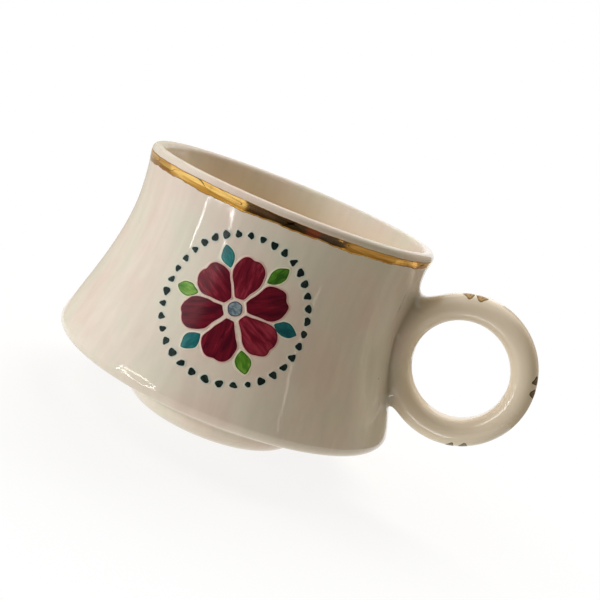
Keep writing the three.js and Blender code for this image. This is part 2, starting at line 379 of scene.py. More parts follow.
@dataclass(frozen=True)
class Glaze:
    """Clear gloss glaze, dipped and fired over cream earthenware.

    The body's cream shows through with faint pink and green clouds where the glaze lies thicker or thinner, a
    few iron specks have burnt through, and the skin is a hard gloss that is never quite flat.
    """

    cream: str = "#ddd3c7"
    blush: str = "#ddcdc2"
    moss: str = "#d8d4c5"
    painted_light_tone: str = "#e8d8c0"  # painted light: the inside is coloured lighter and warmer than the outside to brighten it
    pool_and_shade: str = "#8b7f63"  # darker where glaze ran together in creases and joints, and painted shade there
    bisque: str = "#dccbb2"  # bare clay that the cup stands on
    iron: str = "#4d3a2c"
    cloud_size: float = 15.0
    cloud_places: tuple[float, float, float] = (0.34, 0.5, 0.66)  # of moss, cream and blush in the noise
    run_width: float = 2.2
    run_length: float = 40.0
    run_range: tuple[float, float] = (0.25, 0.75)  # of the noise, from the leanest run to the fullest
    run_shade: tuple[float, float] = (0.955, 1.035)  # brightness of those two
    speck_spacing: float = 9.0
    speck_radius: float = 0.28
    speck_share: float = 0.35
    ripple_size: float = 4.0
    ripple_height: float = 0.022
    roughness: float = 0.07
    bisque_roughness: float = 0.8
    ior: float = 1.5

    def colour(self, tree: NodeTree) -> NodeSocket:
        """Lays the clouds, runs and specks of the glaze.

        Args:
            tree: Material's node tree.

        Returns:
            Socket with the colour.
        """
        place = add_node(tree, "ShaderNodeTexCoord").outputs["Object"]
        cloud = add_node(tree, "ShaderNodeTexNoise", {
            "Vector": place, "Scale": per_size(self.cloud_size), "Detail": 3.0, "Roughness": 0.6})
        low, middle, high = self.cloud_places
        ground = add_node(tree, "ShaderNodeValToRGB", {"Fac": cloud}, stops=(
            (low, self.moss), (high, self.blush), (middle, self.cream)))
        stretched = add_node(tree, "ShaderNodeMapping", {
            "Vector": place, "Scale": (1.0, 1.0, self.run_width / self.run_length)})
        run = add_node(tree, "ShaderNodeTexNoise", {
            "Vector": stretched, "Scale": per_size(self.run_width), "Detail": 2.0})
        shade = add_node(tree, "ShaderNodeMapRange", {
            "Value": run, "From Min": self.run_range[0], "From Max": self.run_range[1],
            "To Min": self.run_shade[0], "To Max": self.run_shade[1]})
        toned = add_node(tree, "ShaderNodeMix", {0: 1.0, 6: ground, 7: shade},
                         data_type="RGBA", blend_type="MULTIPLY")
        cell = add_node(tree, "ShaderNodeTexVoronoi", {
            "Vector": place, "Scale": per_size(self.speck_spacing)})
        chance = add_node(tree, "ShaderNodeSeparateColor", {"Color": cell.outputs["Color"]})
        chosen = add_node(tree, "ShaderNodeMath", {0: chance, 1: self.speck_share}, operation="LESS_THAN")
        reach = add_node(tree, "ShaderNodeMath", {
            0: chance.outputs["Green"], 1: self.speck_radius / self.speck_spacing}, operation="MULTIPLY")
        inside = add_node(tree, "ShaderNodeMath", {
            0: cell.outputs["Distance"], 1: reach}, operation="LESS_THAN")
        speck = add_node(tree, "ShaderNodeMath", {0: inside, 1: chosen}, operation="MULTIPLY")
        specked = add_node(tree, "ShaderNodeMix", {0: speck, 6: toned.outputs[2], 7: linear(self.iron)},
                           data_type="RGBA")
        return specked.outputs[2]

    def skin(self, tree: NodeTree) -> Node:
        """Adds the faint ripple of the fired glaze.

        Args:
            tree: Material's node tree.

        Returns:
            Bump node whose first output is the normal.
        """
        place = add_node(tree, "ShaderNodeTexCoord").outputs["Object"]
        ripple = add_node(tree, "ShaderNodeTexNoise", {
            "Vector": place, "Scale": per_size(self.ripple_size), "Detail": 2.0})
        return add_node(tree, "ShaderNodeBump", {
            "Height": ripple, "Strength": 1.0, "Distance": self.ripple_height * MM})

    def material(self, name: str) -> Material:
        """Makes the glaze of the bowl or the handle.

        The mesh carries an attribute named zone: each point's share of the painted-light tone, how bare it is
        and how much it is darkened by pooled glaze with painted shade.

        Args:
            name: Name of the material.

        Returns:
            The material.
        """
        made = bpy.data.materials.new(name)
        tree = fresh_tree(made)
        zone = add_node(tree, "ShaderNodeAttribute", attribute_name="zone")
        share = add_node(tree, "ShaderNodeSeparateXYZ", {"Vector": zone.outputs["Vector"]})
        base = self.colour(tree)
        # mixes in the painted-light tone, the darker pooled glaze with painted shade, and the bare clay
        for part, colour in (("X", self.painted_light_tone), ("Z", self.pool_and_shade), ("Y", self.bisque)):
            base = add_node(tree, "ShaderNodeMix", {0: share.outputs[part], 6: base, 7: linear(colour)},
                            data_type="RGBA").outputs[2]
        roughness = add_node(tree, "ShaderNodeMapRange", {
            "Value": share.outputs["Y"], "To Min": self.roughness, "To Max": self.bisque_roughness})
        shader = add_node(tree, "ShaderNodeBsdfPrincipled", {
            "Base Color": base, "Roughness": roughness, "IOR": self.ior, "Normal": self.skin(tree)})
        add_node(tree, "ShaderNodeOutputMaterial", {"Surface": shader})
        return made


@dataclass(frozen=True)
class Enamel:
    """Coloured enamel, brushed thickly onto the fired glaze and fired again.

    Each stroke leaves streaks that run with the brush, pools darker along its edge and has a pale margin,
    where the colour bled out into the glaze.
    """

    name: str
    deep: str
    full: str
    thin: str
    margin: str
    rim: str
    streak_length: float = 5.0
    streak_width: float = 0.9
    margin_width: float = 0.4
    margin_blur: float = 0.1  # share of its width over which the margin meets the colour
    margin_fade: float = 0.75  # share of its width over which the margin thins out into the glaze
    rim_width: float = 0.35
    load_places: tuple[float, float, float] = (0.3, 0.52, 0.72)  # of deep, full and thin in the noise
    variety: float = 0.2  # how far strokes differ in load
    shift: float = 40.0  # how far the streaks of two strokes may lie apart in the noise
    relief: float = 0.03  # height of the streaks
    roughness: float = 0.2
    gloss: float = 0.35
    ior: float = 1.52

    def material(self, glaze: Glaze) -> Material:
        """Makes the enamel.

        The mesh carries three attributes: stroke, each point's place along and across the brush stroke,
        inset, its distance from the edge, both in millimetres, and tint, a random share for each stroke.

        Args:
            glaze: Glaze that the margin fades into.

        Returns:
            The material.
        """
        made = bpy.data.materials.new(self.name)
        tree = fresh_tree(made)
        stroke = add_node(tree, "ShaderNodeAttribute", attribute_name="stroke").outputs["Vector"]
        inset = add_node(tree, "ShaderNodeAttribute", attribute_name="inset").outputs["Fac"]
        tint = add_node(tree, "ShaderNodeAttribute", attribute_name="tint").outputs["Fac"]
        drawn = add_node(tree, "ShaderNodeMapping", {
            "Vector": stroke, "Scale": (1 / self.streak_length, 1 / self.streak_width, 1.0)})
        shift = add_node(tree, "ShaderNodeMath", {0: tint, 1: self.shift}, operation="MULTIPLY")
        streak = add_node(tree, "ShaderNodeTexNoise", {
            "Vector": drawn, "W": shift, "Scale": 1.0, "Detail": 4.0, "Roughness": 0.55, "Distortion": 0.4},
            noise_dimensions="4D")
        loaded = add_node(tree, "ShaderNodeMapRange", {
            "Value": tint, "To Min": -self.variety / 2, "To Max": self.variety / 2})
        laid = add_node(tree, "ShaderNodeMath", {0: streak, 1: loaded}, operation="ADD")
        low, middle, high = self.load_places
        body = add_node(tree, "ShaderNodeValToRGB", {"Fac": laid}, stops=(
            (low, self.deep), (high, self.thin), (middle, self.full)))
        start, blur = self.margin_width, self.margin_blur
        outer, inner = start * (1 + blur), start * (1 - blur)
        marks = ((start + self.rim_width, outer, self.rim), (outer, inner, self.margin))
        base = body.outputs["Color"]
        for far, near, colour in marks:
            share = add_node(tree, "ShaderNodeMapRange", {
                "Value": inset, "From Min": far, "From Max": near}, interpolation_type="SMOOTHSTEP")
            base = add_node(tree, "ShaderNodeMix", {0: share, 6: base, 7: linear(colour)},
                            data_type="RGBA").outputs[2]
        fade = add_node(tree, "ShaderNodeMapRange", {
            "Value": inset, "From Min": start * self.margin_fade, "From Max": 0.0},
            interpolation_type="SMOOTHSTEP")
        base = add_node(tree, "ShaderNodeMix", {0: fade, 6: base, 7: glaze.colour(tree)},
                        data_type="RGBA").outputs[2]
        gloss = add_node(tree, "ShaderNodeMapRange", {
            "Value": inset, "From Min": start * (1 - 2 * blur), "From Max": start * (1 + 2 * blur),
            "To Min": glaze.roughness, "To Max": self.roughness})
        bump = add_node(tree, "ShaderNodeBump", {
            "Height": streak, "Strength": 1.0, "Distance": self.relief * MM, "Normal": glaze.skin(tree)})
        shader = add_node(tree, "ShaderNodeBsdfPrincipled", {
            "Base Color": base, "Roughness": gloss, "IOR": self.ior, "Specular IOR Level": self.gloss,
            "Normal": bump})
        add_node(tree, "ShaderNodeOutputMaterial", {"Surface": shader})
        return made


@dataclass(frozen=True)
class Lustre:
    """Burnished gold lustre, a thin metal film brushed over the glaze.

    It mirrors like polished metal along the brush's path, turns brown where the film thins out at its edges
    and shows fine lines where the hairs of the brush parted.
    """

    name: str
    gold: str = "#f4cb78"
    amber: str = "#e0ab58"
    painted_shade_side: str = "#b5863a"  # painted shade: dimmer, browner film on the stroke's lower side
    edge: str = "#8d5c26"
    hair: str = "#4c2f14"
    film_places: tuple[float, float] = (0.34, 0.58)  # of amber and gold in the noise
    streak_length: float = 9.0
    streak_width: float = 0.55
    hair_length: float = 16.0
    hair_width: float = 2.4
    hair_share: float = 0.004
    hair_slant: float = 0.2  # radians off the stroke
    edge_width: float = 0.22
    painted_shade_edge: tuple[float, float] = (0.2, 1.2)  # across the stroke, from full painted shade to none
    painted_shade_sway: float = 2.0  # how far the edge of the painted shade wanders
    relief: float = 0.012  # height of the streaks
    roughness: float = 0.12

    def material(self) -> Material:
        """Makes the lustre, which reads the same attributes as the enamel.

        Returns:
            The material.
        """
        made = bpy.data.materials.new(self.name)
        tree = fresh_tree(made)
        stroke = add_node(tree, "ShaderNodeAttribute", attribute_name="stroke").outputs["Vector"]
        inset = add_node(tree, "ShaderNodeAttribute", attribute_name="inset").outputs["Fac"]
        drawn = add_node(tree, "ShaderNodeMapping", {
            "Vector": stroke, "Scale": (1 / self.streak_length, 1 / self.streak_width, 1.0)})
        streak = add_node(tree, "ShaderNodeTexNoise", {"Vector": drawn, "Scale": 1.0, "Detail": 3.0})
        film = add_node(tree, "ShaderNodeValToRGB", {"Fac": streak},
                        stops=tuple(zip(self.film_places, (self.amber, self.gold))))
        # painted shade: the lower side of the stroke, across it, is dimmed and browner
        across = add_node(tree, "ShaderNodeSeparateXYZ", {"Vector": stroke}).outputs["Y"]
        swayed = add_node(tree, "ShaderNodeMath", {0: streak, 1: self.painted_shade_sway, 2: across},
                          operation="MULTIPLY_ADD")
        unshaded_share = add_node(tree, "ShaderNodeMapRange", {
            "Value": swayed, "From Min": self.painted_shade_edge[0], "From Max": self.painted_shade_edge[1]},
            interpolation_type="SMOOTHSTEP")
        film = add_node(tree, "ShaderNodeMix", {0: unshaded_share, 6: linear(self.painted_shade_side), 7: film},
                        data_type="RGBA").outputs[2]
        shaded_lustre = add_node(tree, "ShaderNodeMath", {0: streak, 1: self.edge_width / NOISE_MEAN},
                        operation="MULTIPLY")
        thin = add_node(tree, "ShaderNodeMapRange", {
            "Value": inset, "From Min": shaded_lustre, "From Max": 0.0}, interpolation_type="SMOOTHSTEP")
        base = add_node(tree, "ShaderNodeMix", {0: thin, 6: film, 7: linear(self.edge)}, data_type="RGBA")
        slanted = add_node(tree, "ShaderNodeMapping", {
            "Vector": stroke, "Rotation": (0.0, 0.0, self.hair_slant),
            "Scale": (1 / self.hair_length, 1 / self.hair_width, 1.0)})
        parting = add_node(tree, "ShaderNodeTexNoise", {"Vector": slanted, "Scale": 1.0, "Detail": 0.0})
        hair = add_node(tree, "ShaderNodeMath", {0: parting, 1: NOISE_MEAN, 2: self.hair_share},
                        operation="COMPARE")
        lined = add_node(tree, "ShaderNodeMix", {0: hair, 6: base.outputs[2], 7: linear(self.hair)},
                         data_type="RGBA")
        bump = add_node(tree, "ShaderNodeBump", {
            "Height": streak, "Strength": 1.0, "Distance": self.relief * MM})
        shader = add_node(tree, "ShaderNodeBsdfPrincipled", {
            "Base Color": lined.outputs[2], "Metallic": 1.0, "Roughness": self.roughness, "Normal": bump})
        add_node(tree, "ShaderNodeOutputMaterial", {"Surface": shader})
        return made


@dataclass
class Bowl:
    """The cast bowl: foot, underside, round shoulder, drawn-in waist, flared lip and dished inside."""

    glaze: Glaze
    height: float = 61.0
    rim_radius: float = 37.0
    lip_round: float = 1.5
    waist_radius: float = 35.9
    waist_drop: float = 13.5
    flare_pull: float = 5.0
    waist_pull: float = 14.0
    shoulder_radius: float = 43.6
    shoulder_height: float = 13.8
    shoulder_round: float = 2.6
    shoulder_pull: float = 2.0
    foot_radius: float = 23.3
    foot_height: float = 5.6
    standing_radius: float = 15.7
    crease_round: float = 1.3  # glaze lying in the crease above the foot
    wall: float = 3.2
    floor: float = 5.0
    floor_round: float = 5.4
    segments: int = 256
    shoulder_steps: int = 16
    foot_steps: int = 48
    crease_steps: int = 10
    underside_points: int = 24
    standing_points: int = 5
    inside_steps: tuple[int, int, int] = (28, 60, 34)  # on its flare, wall and floor
    inside_light_rise: float = 0.125  # share of the inside over which its painted-light tone sets in below the lip
    bare_height: float = 0.35  # glaze is wiped off below this
    bare_fade: float = 0.2
    pool_and_shade_share: float = 0.3  # how much darker the crease above the foot is: pooled glaze and painted shade
    pool_and_shade_width: float = 0.9
    wave: float = 0.09  # how far the hand-finished wall strays from a true circle
    wave_height: float = 28.0  # along the axis
    wave_scale: float = 1.3  # of the noise round the wall

    @property
    def lip_height(self) -> float:
        """Height where the flare runs into the lip's round."""
        return self.height - self.lip_round

    @property
    def waist_height(self) -> float:
        """Height of the narrowest part of the wall."""
        return self.height - self.waist_drop

    def outside(self, steps: int = 72) -> np.ndarray:
        """Traces the wall and flare from the shoulder's widest point up to the lip.

        Args:
            steps: Number of stretches on the wall.

        Returns:
            Radius and height of each point.
        """
        waist = (self.waist_radius, self.waist_height)
        wall = bezier([
            (self.shoulder_radius, self.shoulder_height),
            (self.shoulder_radius, self.shoulder_height + self.shoulder_pull),
            (self.waist_radius, self.waist_height - self.waist_pull), waist], steps)
        flare = bezier([
            waist, (self.waist_radius, self.waist_height + self.flare_pull),
            (self.rim_radius, self.lip_height)], steps // 2)
        return np.concatenate([wall, flare[1:]])

    def lip(self, steps: int = 20) -> np.ndarray:
        """Traces the half round of the lip from outside to inside."""
        middle = (self.rim_radius - self.lip_round, self.lip_height)
        return arc(middle, (self.lip_round, self.lip_round), 0, 180, steps)

    def underneath(self) -> np.ndarray:
        """Traces the foot, the crease, the underside and the round of the shoulder.

        Returns:
            Radius and height of each point, from the edge of the standing face up to the shoulder.
        """
        crease = np.array((self.foot_radius, self.foot_height))
        round_middle = np.array((self.shoulder_radius - self.shoulder_round, self.shoulder_height))
        away = crease - round_middle
        turn = math.atan2(away[1], away[0]) + math.acos(self.shoulder_round / np.linalg.norm(away))
        shoulder = arc(round_middle, (self.shoulder_round,) * 2, math.degrees(turn), 0, self.shoulder_steps)
        foot = arc((self.standing_radius, self.foot_height),
                   (self.foot_radius - self.standing_radius, self.foot_height), -90, 0, self.foot_steps)
        foot = foot[np.linalg.norm(foot - crease, axis=1) > self.crease_round]
        along = (shoulder[0] - crease) / np.linalg.norm(shoulder[0] - crease)
        joined = bezier([foot[-1], crease, crease + along * self.crease_round], self.crease_steps)
        underside = np.linspace(joined[-1], shoulder[0], self.underside_points)
        return np.concatenate([foot, joined[1:], underside[1:], shoulder[1:]])

    def inside(self) -> np.ndarray:
        """Traces the inside from the lip down to the middle of the floor.

        Returns:
            Radius and height of each point.
        """
        radius = self.waist_radius - self.wall
        shoulder_start = self.underneath()[-1 - self.shoulder_steps]
        slope = shoulder_start - (self.foot_radius, self.foot_height)
        rise = slope[1] / slope[0]
        edge_radius = self.shoulder_radius - self.wall - self.floor_round
        edge = (edge_radius, self.foot_height + (edge_radius - self.foot_radius) * rise
                + self.wall * math.hypot(1, rise))
        pull = (self.standing_radius, self.floor)
        tilt = (edge[1] - pull[1]) / (edge[0] - pull[0])
        belly = self.shoulder_radius - self.wall / 2
        flare_steps, wall_steps, floor_steps = self.inside_steps
        flare = bezier([
            (self.rim_radius - 2 * self.lip_round, self.lip_height),
            (radius, self.waist_height + self.flare_pull), (radius, self.waist_height)], flare_steps)
        wall = bezier([
            (radius, self.waist_height), (radius, self.waist_height - self.waist_pull),
            (belly, edge[1] + (belly - edge[0]) * tilt), edge], wall_steps)
        floor = bezier([edge, pull, (0, self.floor)], floor_steps)
        return np.concatenate([flare, wall[1:], floor[1:]])

    def section(self) -> tuple[np.ndarray, np.ndarray]:
        """Joins the whole section from the middle of the standing face round to the middle of the floor.

        Returns:
            Radius and height of each point, and its zone, which the glaze reads.
        """
        standing = np.linspace((0, 0), (self.standing_radius, 0), self.standing_points)[:-1]
        below, outer, lip, inner = self.underneath(), self.outside(), self.lip(), self.inside()
        points = np.concatenate([standing, below, outer[1:], lip[1:], inner[1:]])
        zone = np.zeros((len(points), 3))
        lip_end = len(standing) + len(below) + len(outer) + len(lip) - 3
        # painted light: the inside takes the lighter tone from just below the lip
        zone[lip_end:, 0] = np.clip(np.linspace(0, 1 / self.inside_light_rise, len(points) - lip_end), 0, 1)
        low = np.arange(len(points)) < lip_end
        zone[:, 1] = np.clip((self.bare_height - points[:, 1]) / self.bare_fade, 0, 1) * low
        # darker in the crease above the foot: pooled glaze and painted shade
        crease = np.hypot(points[:, 0] - self.foot_radius, points[:, 1] - self.foot_height)
        zone[:, 2] = self.pool_and_shade_share * np.exp(-(crease / self.pool_and_shade_width) ** 2) * low
        return points, zone

    def tree(self) -> NodeTree:
        """Builds the tree that turns a section about the Z axis with a hand-finished wave.

        Returns:
            The tree.
        """
        tree, given = new_tree("turn the bowl", {
            "Section": "Object", "Segments": "Int", "Wave": "Float", "Seed": "Int", "Material": "Material"})
        info = add_node(tree, "GeometryNodeObjectInfo", {"Object": given["Section"]})
        section = info.outputs["Geometry"]
        rings = add_node(tree, "GeometryNodeAttributeDomainSize", {"Geometry": section})
        columns = add_node(tree, "ShaderNodeMath", {0: given["Segments"], 1: 1.0}, operation="ADD")
        grid = add_node(tree, "GeometryNodeMeshGrid", {
            "Vertices X": rings.outputs["Point Count"], "Vertices Y": columns})
        number = add_node(tree, "GeometryNodeInputIndex")
        column = add_node(tree, "ShaderNodeMath", {0: number, 1: columns}, operation="MODULO")
        left = add_node(tree, "ShaderNodeMath", {0: number, 1: column}, operation="SUBTRACT")
        row = add_node(tree, "ShaderNodeMath", {0: left, 1: columns}, operation="DIVIDE")
        place = add_node(tree, "GeometryNodeInputPosition")
        kept = add_node(tree, "GeometryNodeInputNamedAttribute", {"Name": "zone"}, data_type="FLOAT_VECTOR")
        point, zone = (
            add_node(tree, "GeometryNodeSampleIndex", {"Geometry": section, "Value": value, "Index": row},
                     data_type="FLOAT_VECTOR", clamp=True)
            for value in (place, kept))
        part = add_node(tree, "ShaderNodeSeparateXYZ", {"Vector": point})
        turn = add_node(tree, "ShaderNodeMath", {0: column, 1: given["Segments"]}, operation="DIVIDE")
        angle = add_node(tree, "ShaderNodeMath", {0: turn, 1: 2 * math.pi}, operation="MULTIPLY")
        height = add_node(tree, "ShaderNodeMath", {
            0: part.outputs["Z"], 1: per_size(self.wave_height)}, operation="MULTIPLY")
        noise = add_node(tree, "ShaderNodeTexNoise", {
            "Vector": wrap(tree, 1.0, angle, height), "W": given["Seed"],
            "Scale": self.wave_scale, "Detail": 1.0}, noise_dimensions="4D")
        centred = add_node(tree, "ShaderNodeMath", {0: noise, 1: NOISE_MEAN}, operation="SUBTRACT")
        reach = add_node(tree, "ShaderNodeMath", {
            0: part.outputs["X"], 1: per_size(self.waist_radius)}, operation="MULTIPLY")
        sway = add_node(tree, "ShaderNodeMath", {0: centred, 1: given["Wave"]}, operation="MULTIPLY")
        radius = add_node(tree, "ShaderNodeMath", {0: sway, 1: reach, 2: part.outputs["X"]},
                          operation="MULTIPLY_ADD")
        marked = add_node(tree, "GeometryNodeStoreNamedAttribute", {
            "Geometry": grid, "Name": "zone", "Value": zone}, data_type="FLOAT_VECTOR", domain="POINT")
        shaped = add_node(tree, "GeometryNodeSetPosition", {
            "Geometry": marked, "Position": wrap(tree, radius, angle, part.outputs["Z"])})
        closed = add_node(tree, "GeometryNodeMergeByDistance", {"Geometry": shaped, "Distance": WELD * MM})
        outward = add_node(tree, "GeometryNodeFlipFaces", {"Mesh": closed})
        end_tree(tree, outward, given["Material"])
        return tree

    def build(self) -> Object:
        """Turns the bowl and dresses it.

        Returns:
            The bowl.
        """
        points, zone = self.section()
        places = np.stack([points[:, 0], np.zeros(len(points)), points[:, 1]], 1)
        edges = [(i, i + 1) for i in range(len(places) - 1)]
        section = make_mesh("bowl_section", places, edges=edges, zone=zone)
        bowl = make_mesh("bowl", np.zeros((1, 3)))
        grow(bowl, self.tree(), {
            "Section": section, "Segments": self.segments, "Wave": self.wave * MM, "Seed": SEED,
            "Material": self.glaze.material("gloss_glaze_on_bowl")})
        settle(bowl, ["cup_body"])
        return bowl


@dataclass
class Handle:
    """The ring handle with the clay that was worked in where it meets the wall, as one fired skin."""

    bowl: Bowl
    bore_radius: float = 12.0
    thickness: float = 6.5
    depth: float = 9.0
    corner: float = 3.2
    drop: float = 4.2
    saddle: float = 1.7
    upper_fillet: float = 7.3
    middle_fillet: float = 1.4
    lower_fillet: float = 3.7
    skirt: float = 0.3  # how far the worked clay runs out on the wall past its fillet
    sunk: float = 0.4  # how deep the piece reaches into the wall
    fillet_levels: tuple[float, ...] = (-0.65, -0.3, 0.05, 0.5)  # in radii above the ring's middle
    lift: float = 0.01  # keeps the clay that runs out just off the wall's own skin
    wall_steps: int = 28  # stretches of the wall that distances are measured from
    cell: float = 0.32  # fineness of the modelled skin
    room: float = 3.0  # space left round the ring while it is modelled
    probe: float = 0.02  # step that the slope of the skin is read over
    rounds: int = 3  # times that the points are moved onto the skin
    least_slope: float = 0.25  # keeps a flat spot from throwing a point far
    ring_light_tone: str = "#f0e2cc"  # painted light: the ring's glaze is coloured lighter than the bowl's to brighten it
    ring_light_reach: tuple[float, float] = (0.6, 6.0)  # off the wall, where the ring's painted-light tone begins and is full
    ring_light_share: float = 0.75
    pool_and_shade_share: float = 0.75  # how much darker the joint is: pooled glaze and painted shade
    pool_and_shade_power: float = 1.5  # how fast it thins out from there

    @property
    def outer_radius(self) -> float:
        """Radius of the ring's outer face."""
        return self.bore_radius + self.thickness

    @property
    def centre(self) -> tuple[float, float]:
        """Distance from the bowl's axis and height of the ring's middle."""
        height = self.bowl.height - self.drop - self.outer_radius
        outside = self.bowl.outside()
        seat = float(np.interp(height, outside[:, 1], outside[:, 0]))
        return seat - self.saddle + self.outer_radius, height

    def ring_distance(self, at: np.ndarray) -> np.ndarray:
        """Measures how far points lie outside the plain ring.

        Args:
            at: One row for each point.

        Returns:
            Signed distance of each, negative inside.
        """
        middle = self.bore_radius + self.thickness / 2
        reach = np.hypot(at[:, 0] - self.centre[0], at[:, 2] - self.centre[1]) - middle
        beside = np.abs(reach) - (self.thickness / 2 - self.corner)
        across = np.abs(at[:, 1]) - (self.depth / 2 - self.corner)
        beyond = np.hypot(np.maximum(beside, 0), np.maximum(across, 0))
        return beyond + np.minimum(np.maximum(beside, across), 0) - self.corner

    def wall_distance(self, at: np.ndarray) -> np.ndarray:
        """Measures how far points lie outside the bowl's wall.

        Args:
            at: One row for each point.

        Returns:
            Signed distance of each, negative inside the wall.
        """
        line = self.bowl.outside(self.wall_steps)
        radius = np.hypot(at[:, 0], at[:, 1])
        nearest = np.full(len(at), np.inf)
        signed = np.zeros(len(at))
        for (r0, z0), (r1, z1) in zip(line, line[1:]):
            length = math.hypot(r1 - r0, z1 - z0)
            along_r, along_z = (r1 - r0) / length, (z1 - z0) / length
            share = np.clip((radius - r0) * along_r + (at[:, 2] - z0) * along_z, 0, length)
            away = np.hypot(radius - r0 - share * along_r, at[:, 2] - z0 - share * along_z)
            side = (radius - r0) * along_z - (at[:, 2] - z0) * along_r
            closer = away < nearest
            nearest = np.where(closer, away, nearest)
            signed = np.where(closer, np.copysign(away, side), signed)
        return signed

    def fillet(self, at: np.ndarray) -> np.ndarray:
        """Gives the reach of the worked clay at each point's height, most in the two corners of the joint."""
        level = (at[:, 2] - self.centre[1]) / self.outer_radius
        return np.interp(level, self.fillet_levels, (
            self.lower_fillet, self.middle_fillet, self.middle_fillet, self.upper_fillet))

    def piece_distance(self, at: np.ndarray) -> tuple[np.ndarray, np.ndarray]:
        """Measures the fired piece: ring and wall melted together, cut off inside the wall.

        Args:
            at: One row for each point.

        Returns:
            Signed distance of each point, and its share of the melt.
        """
        ring, wall, reach = self.ring_distance(at), self.wall_distance(at), self.fillet(at)
        level = wall + self.lift
        melt = np.maximum(reach - np.abs(ring - level), 0) / reach
        joined = np.minimum(ring, level) - melt ** 2 * reach / 4
        return np.maximum.reduce([joined, -(wall + self.sunk), ring - reach - self.skirt]), melt

    def skin(self) -> tuple[np.ndarray, np.ndarray]:
        """Wraps the fired piece in quads that lie on its surface.

        Returns:
            The points and the vertex numbers of each quad.
        """
        across, height = self.centre
        reach = self.outer_radius + self.room
        half = np.array((reach, self.depth / 2 + self.room, reach))
        low = np.array((across, 0.0, height)) - half
        steps = np.ceil(2 * half / self.cell).astype(int)
        axes = [low[i] + self.cell * np.arange(steps[i] + 1) for i in range(3)]
        places = np.stack(np.meshgrid(*axes, indexing="ij"), -1).reshape(-1, 3)
        levels = self.piece_distance(places)[0].reshape(steps + 1)
        grid = openvdb.FloatGrid(float(levels.max()))
        grid.copyFromArray(levels.astype(np.float32))
        points, quads = grid.convertToQuads()
        points = low + np.asarray(points, float) * self.cell
        for _ in range(self.rounds):
            level = self.piece_distance(points)[0]
            slope = np.stack([
                self.piece_distance(points + step)[0] - self.piece_distance(points - step)[0]
                for step in np.eye(3) * self.probe], 1) / (2 * self.probe)
            move = (level / np.maximum((slope ** 2).sum(1), self.least_slope))[:, None] * slope
            points -= np.clip(move, -self.cell / 2, self.cell / 2)
        return points, np.asarray(quads)

    def build(self) -> Object:
        """Models the handle and dresses it.

        Returns:
            The handle.
        """
        points, quads = self.skin()
        zone = np.zeros((len(points), 3))
        # painted light: the ring is coloured lighter away from the wall
        near, far = self.ring_light_reach
        off = np.clip((self.wall_distance(points) - near) / (far - near), 0, 1)
        zone[:, 0] = self.ring_light_share * off * off * (3 - 2 * off)
        # darker in the joint: pooled glaze and painted shade
        zone[:, 2] = self.pool_and_shade_share * self.piece_distance(points)[1] ** self.pool_and_shade_power
        handle = make_mesh("handle", points, quads, zone=zone)
        dipped = replace(self.bowl.glaze, painted_light_tone=self.ring_light_tone)
        handle.data.materials.append(dipped.material("gloss_glaze_on_handle"))
        settle(handle, ["ring_handle", "upper_luting", "lower_luting"])
        return handle


@dataclass
class Stroke:
    """One stroke of colour or gilt: an outline filled with a low dome that hugs what it is laid on."""

    outline: np.ndarray
    margin: float = 0.4  # how far the colour bleeds past the outline
    thickness: float = 0.07
    bleed: float = 0.012  # height of its edge
    root: float = 0.06  # how deep it is bonded into the glaze
    brim: float = 0.35  # width of the round along its edge
    points: int = 84
    rings: int = 12
    crowding: float = 1.15  # how much closer the rings lie at the edge

    def template(self, name: str) -> Object:
        """Makes the flat stroke as a closed mesh.

        Args:
            name: Name of the object.

        Returns:
            The stroke, along X and Y, with its height in Z.
        """
        edge = self.grown()
        middle = edge.mean(0)
        shares = np.linspace(0, 1, self.rings) ** self.crowding
        flat = np.concatenate([edge + (middle - edge) * share for share in shares[:-1]] + [middle[None]])
        inset = self.inset(flat, edge)
        swell = np.clip((inset - self.margin) / self.brim, 0, 1)
        lift = self.bleed + (self.thickness - self.bleed) * np.sqrt(swell * (2 - swell))
        top = np.column_stack([flat, lift])
        under = np.column_stack([flat, np.full(len(flat), -self.root)])
        faces = self.faces(len(flat))
        stroke = np.column_stack([np.tile(flat, (2, 1)), np.zeros(2 * len(flat))])
        return make_mesh(name, np.concatenate([top, under]), faces, stroke=stroke, inset=np.tile(inset, 2))

    def grown(self) -> np.ndarray:
        """Spaces the outline evenly and moves it out by the margin.

        Returns:
            Points round the edge of the bleed.
        """
        even = spaced(np.concatenate([self.outline, self.outline[:1]]), self.points, closed=True)
        ahead = np.roll(even, -1, 0) - np.roll(even, 1, 0)
        out = np.stack([ahead[:, 1], -ahead[:, 0]], 1)
        return even + out / np.linalg.norm(out, axis=1, keepdims=True) * self.margin

    @staticmethod
    def inset(flat: np.ndarray, edge: np.ndarray) -> np.ndarray:
        """Measures how far points lie from an edge.

        Args:
            flat: Points inside the edge.
            edge: Points round the edge.

        Returns:
            Distance of each point.
        """
        nearest = np.full(len(flat), np.inf)
        for start, end in zip(edge, np.roll(edge, -1, 0)):
            span = end - start
            share = np.clip((flat - start) @ span / (span @ span), 0, 1)
            nearest = np.minimum(nearest, np.linalg.norm(flat - start - share[:, None] * span, axis=1))
        return nearest

    def faces(self, count: int) -> list[tuple[int, ...]]:
        """Joins the rings of the top and of the underside, and the two at the edge.

        Args:
            count: Number of points in one layer, whose last is the middle.

        Returns:
            Vertex numbers round each face.
        """
        made = []
        for i in range(self.points):
            following = (i + 1) % self.points
            for ring in range(self.rings - 2):
                a, b = ring * self.points + i, ring * self.points + following
                quad = (a, b, b + self.points, a + self.points)
                made += two_sided(quad, count)
            a, b = count - 1 - self.points + i, count - 1 - self.points + following
            made += two_sided((a, b, count - 1), count)
            made.append((i, count + i, count + following, following))
        return made


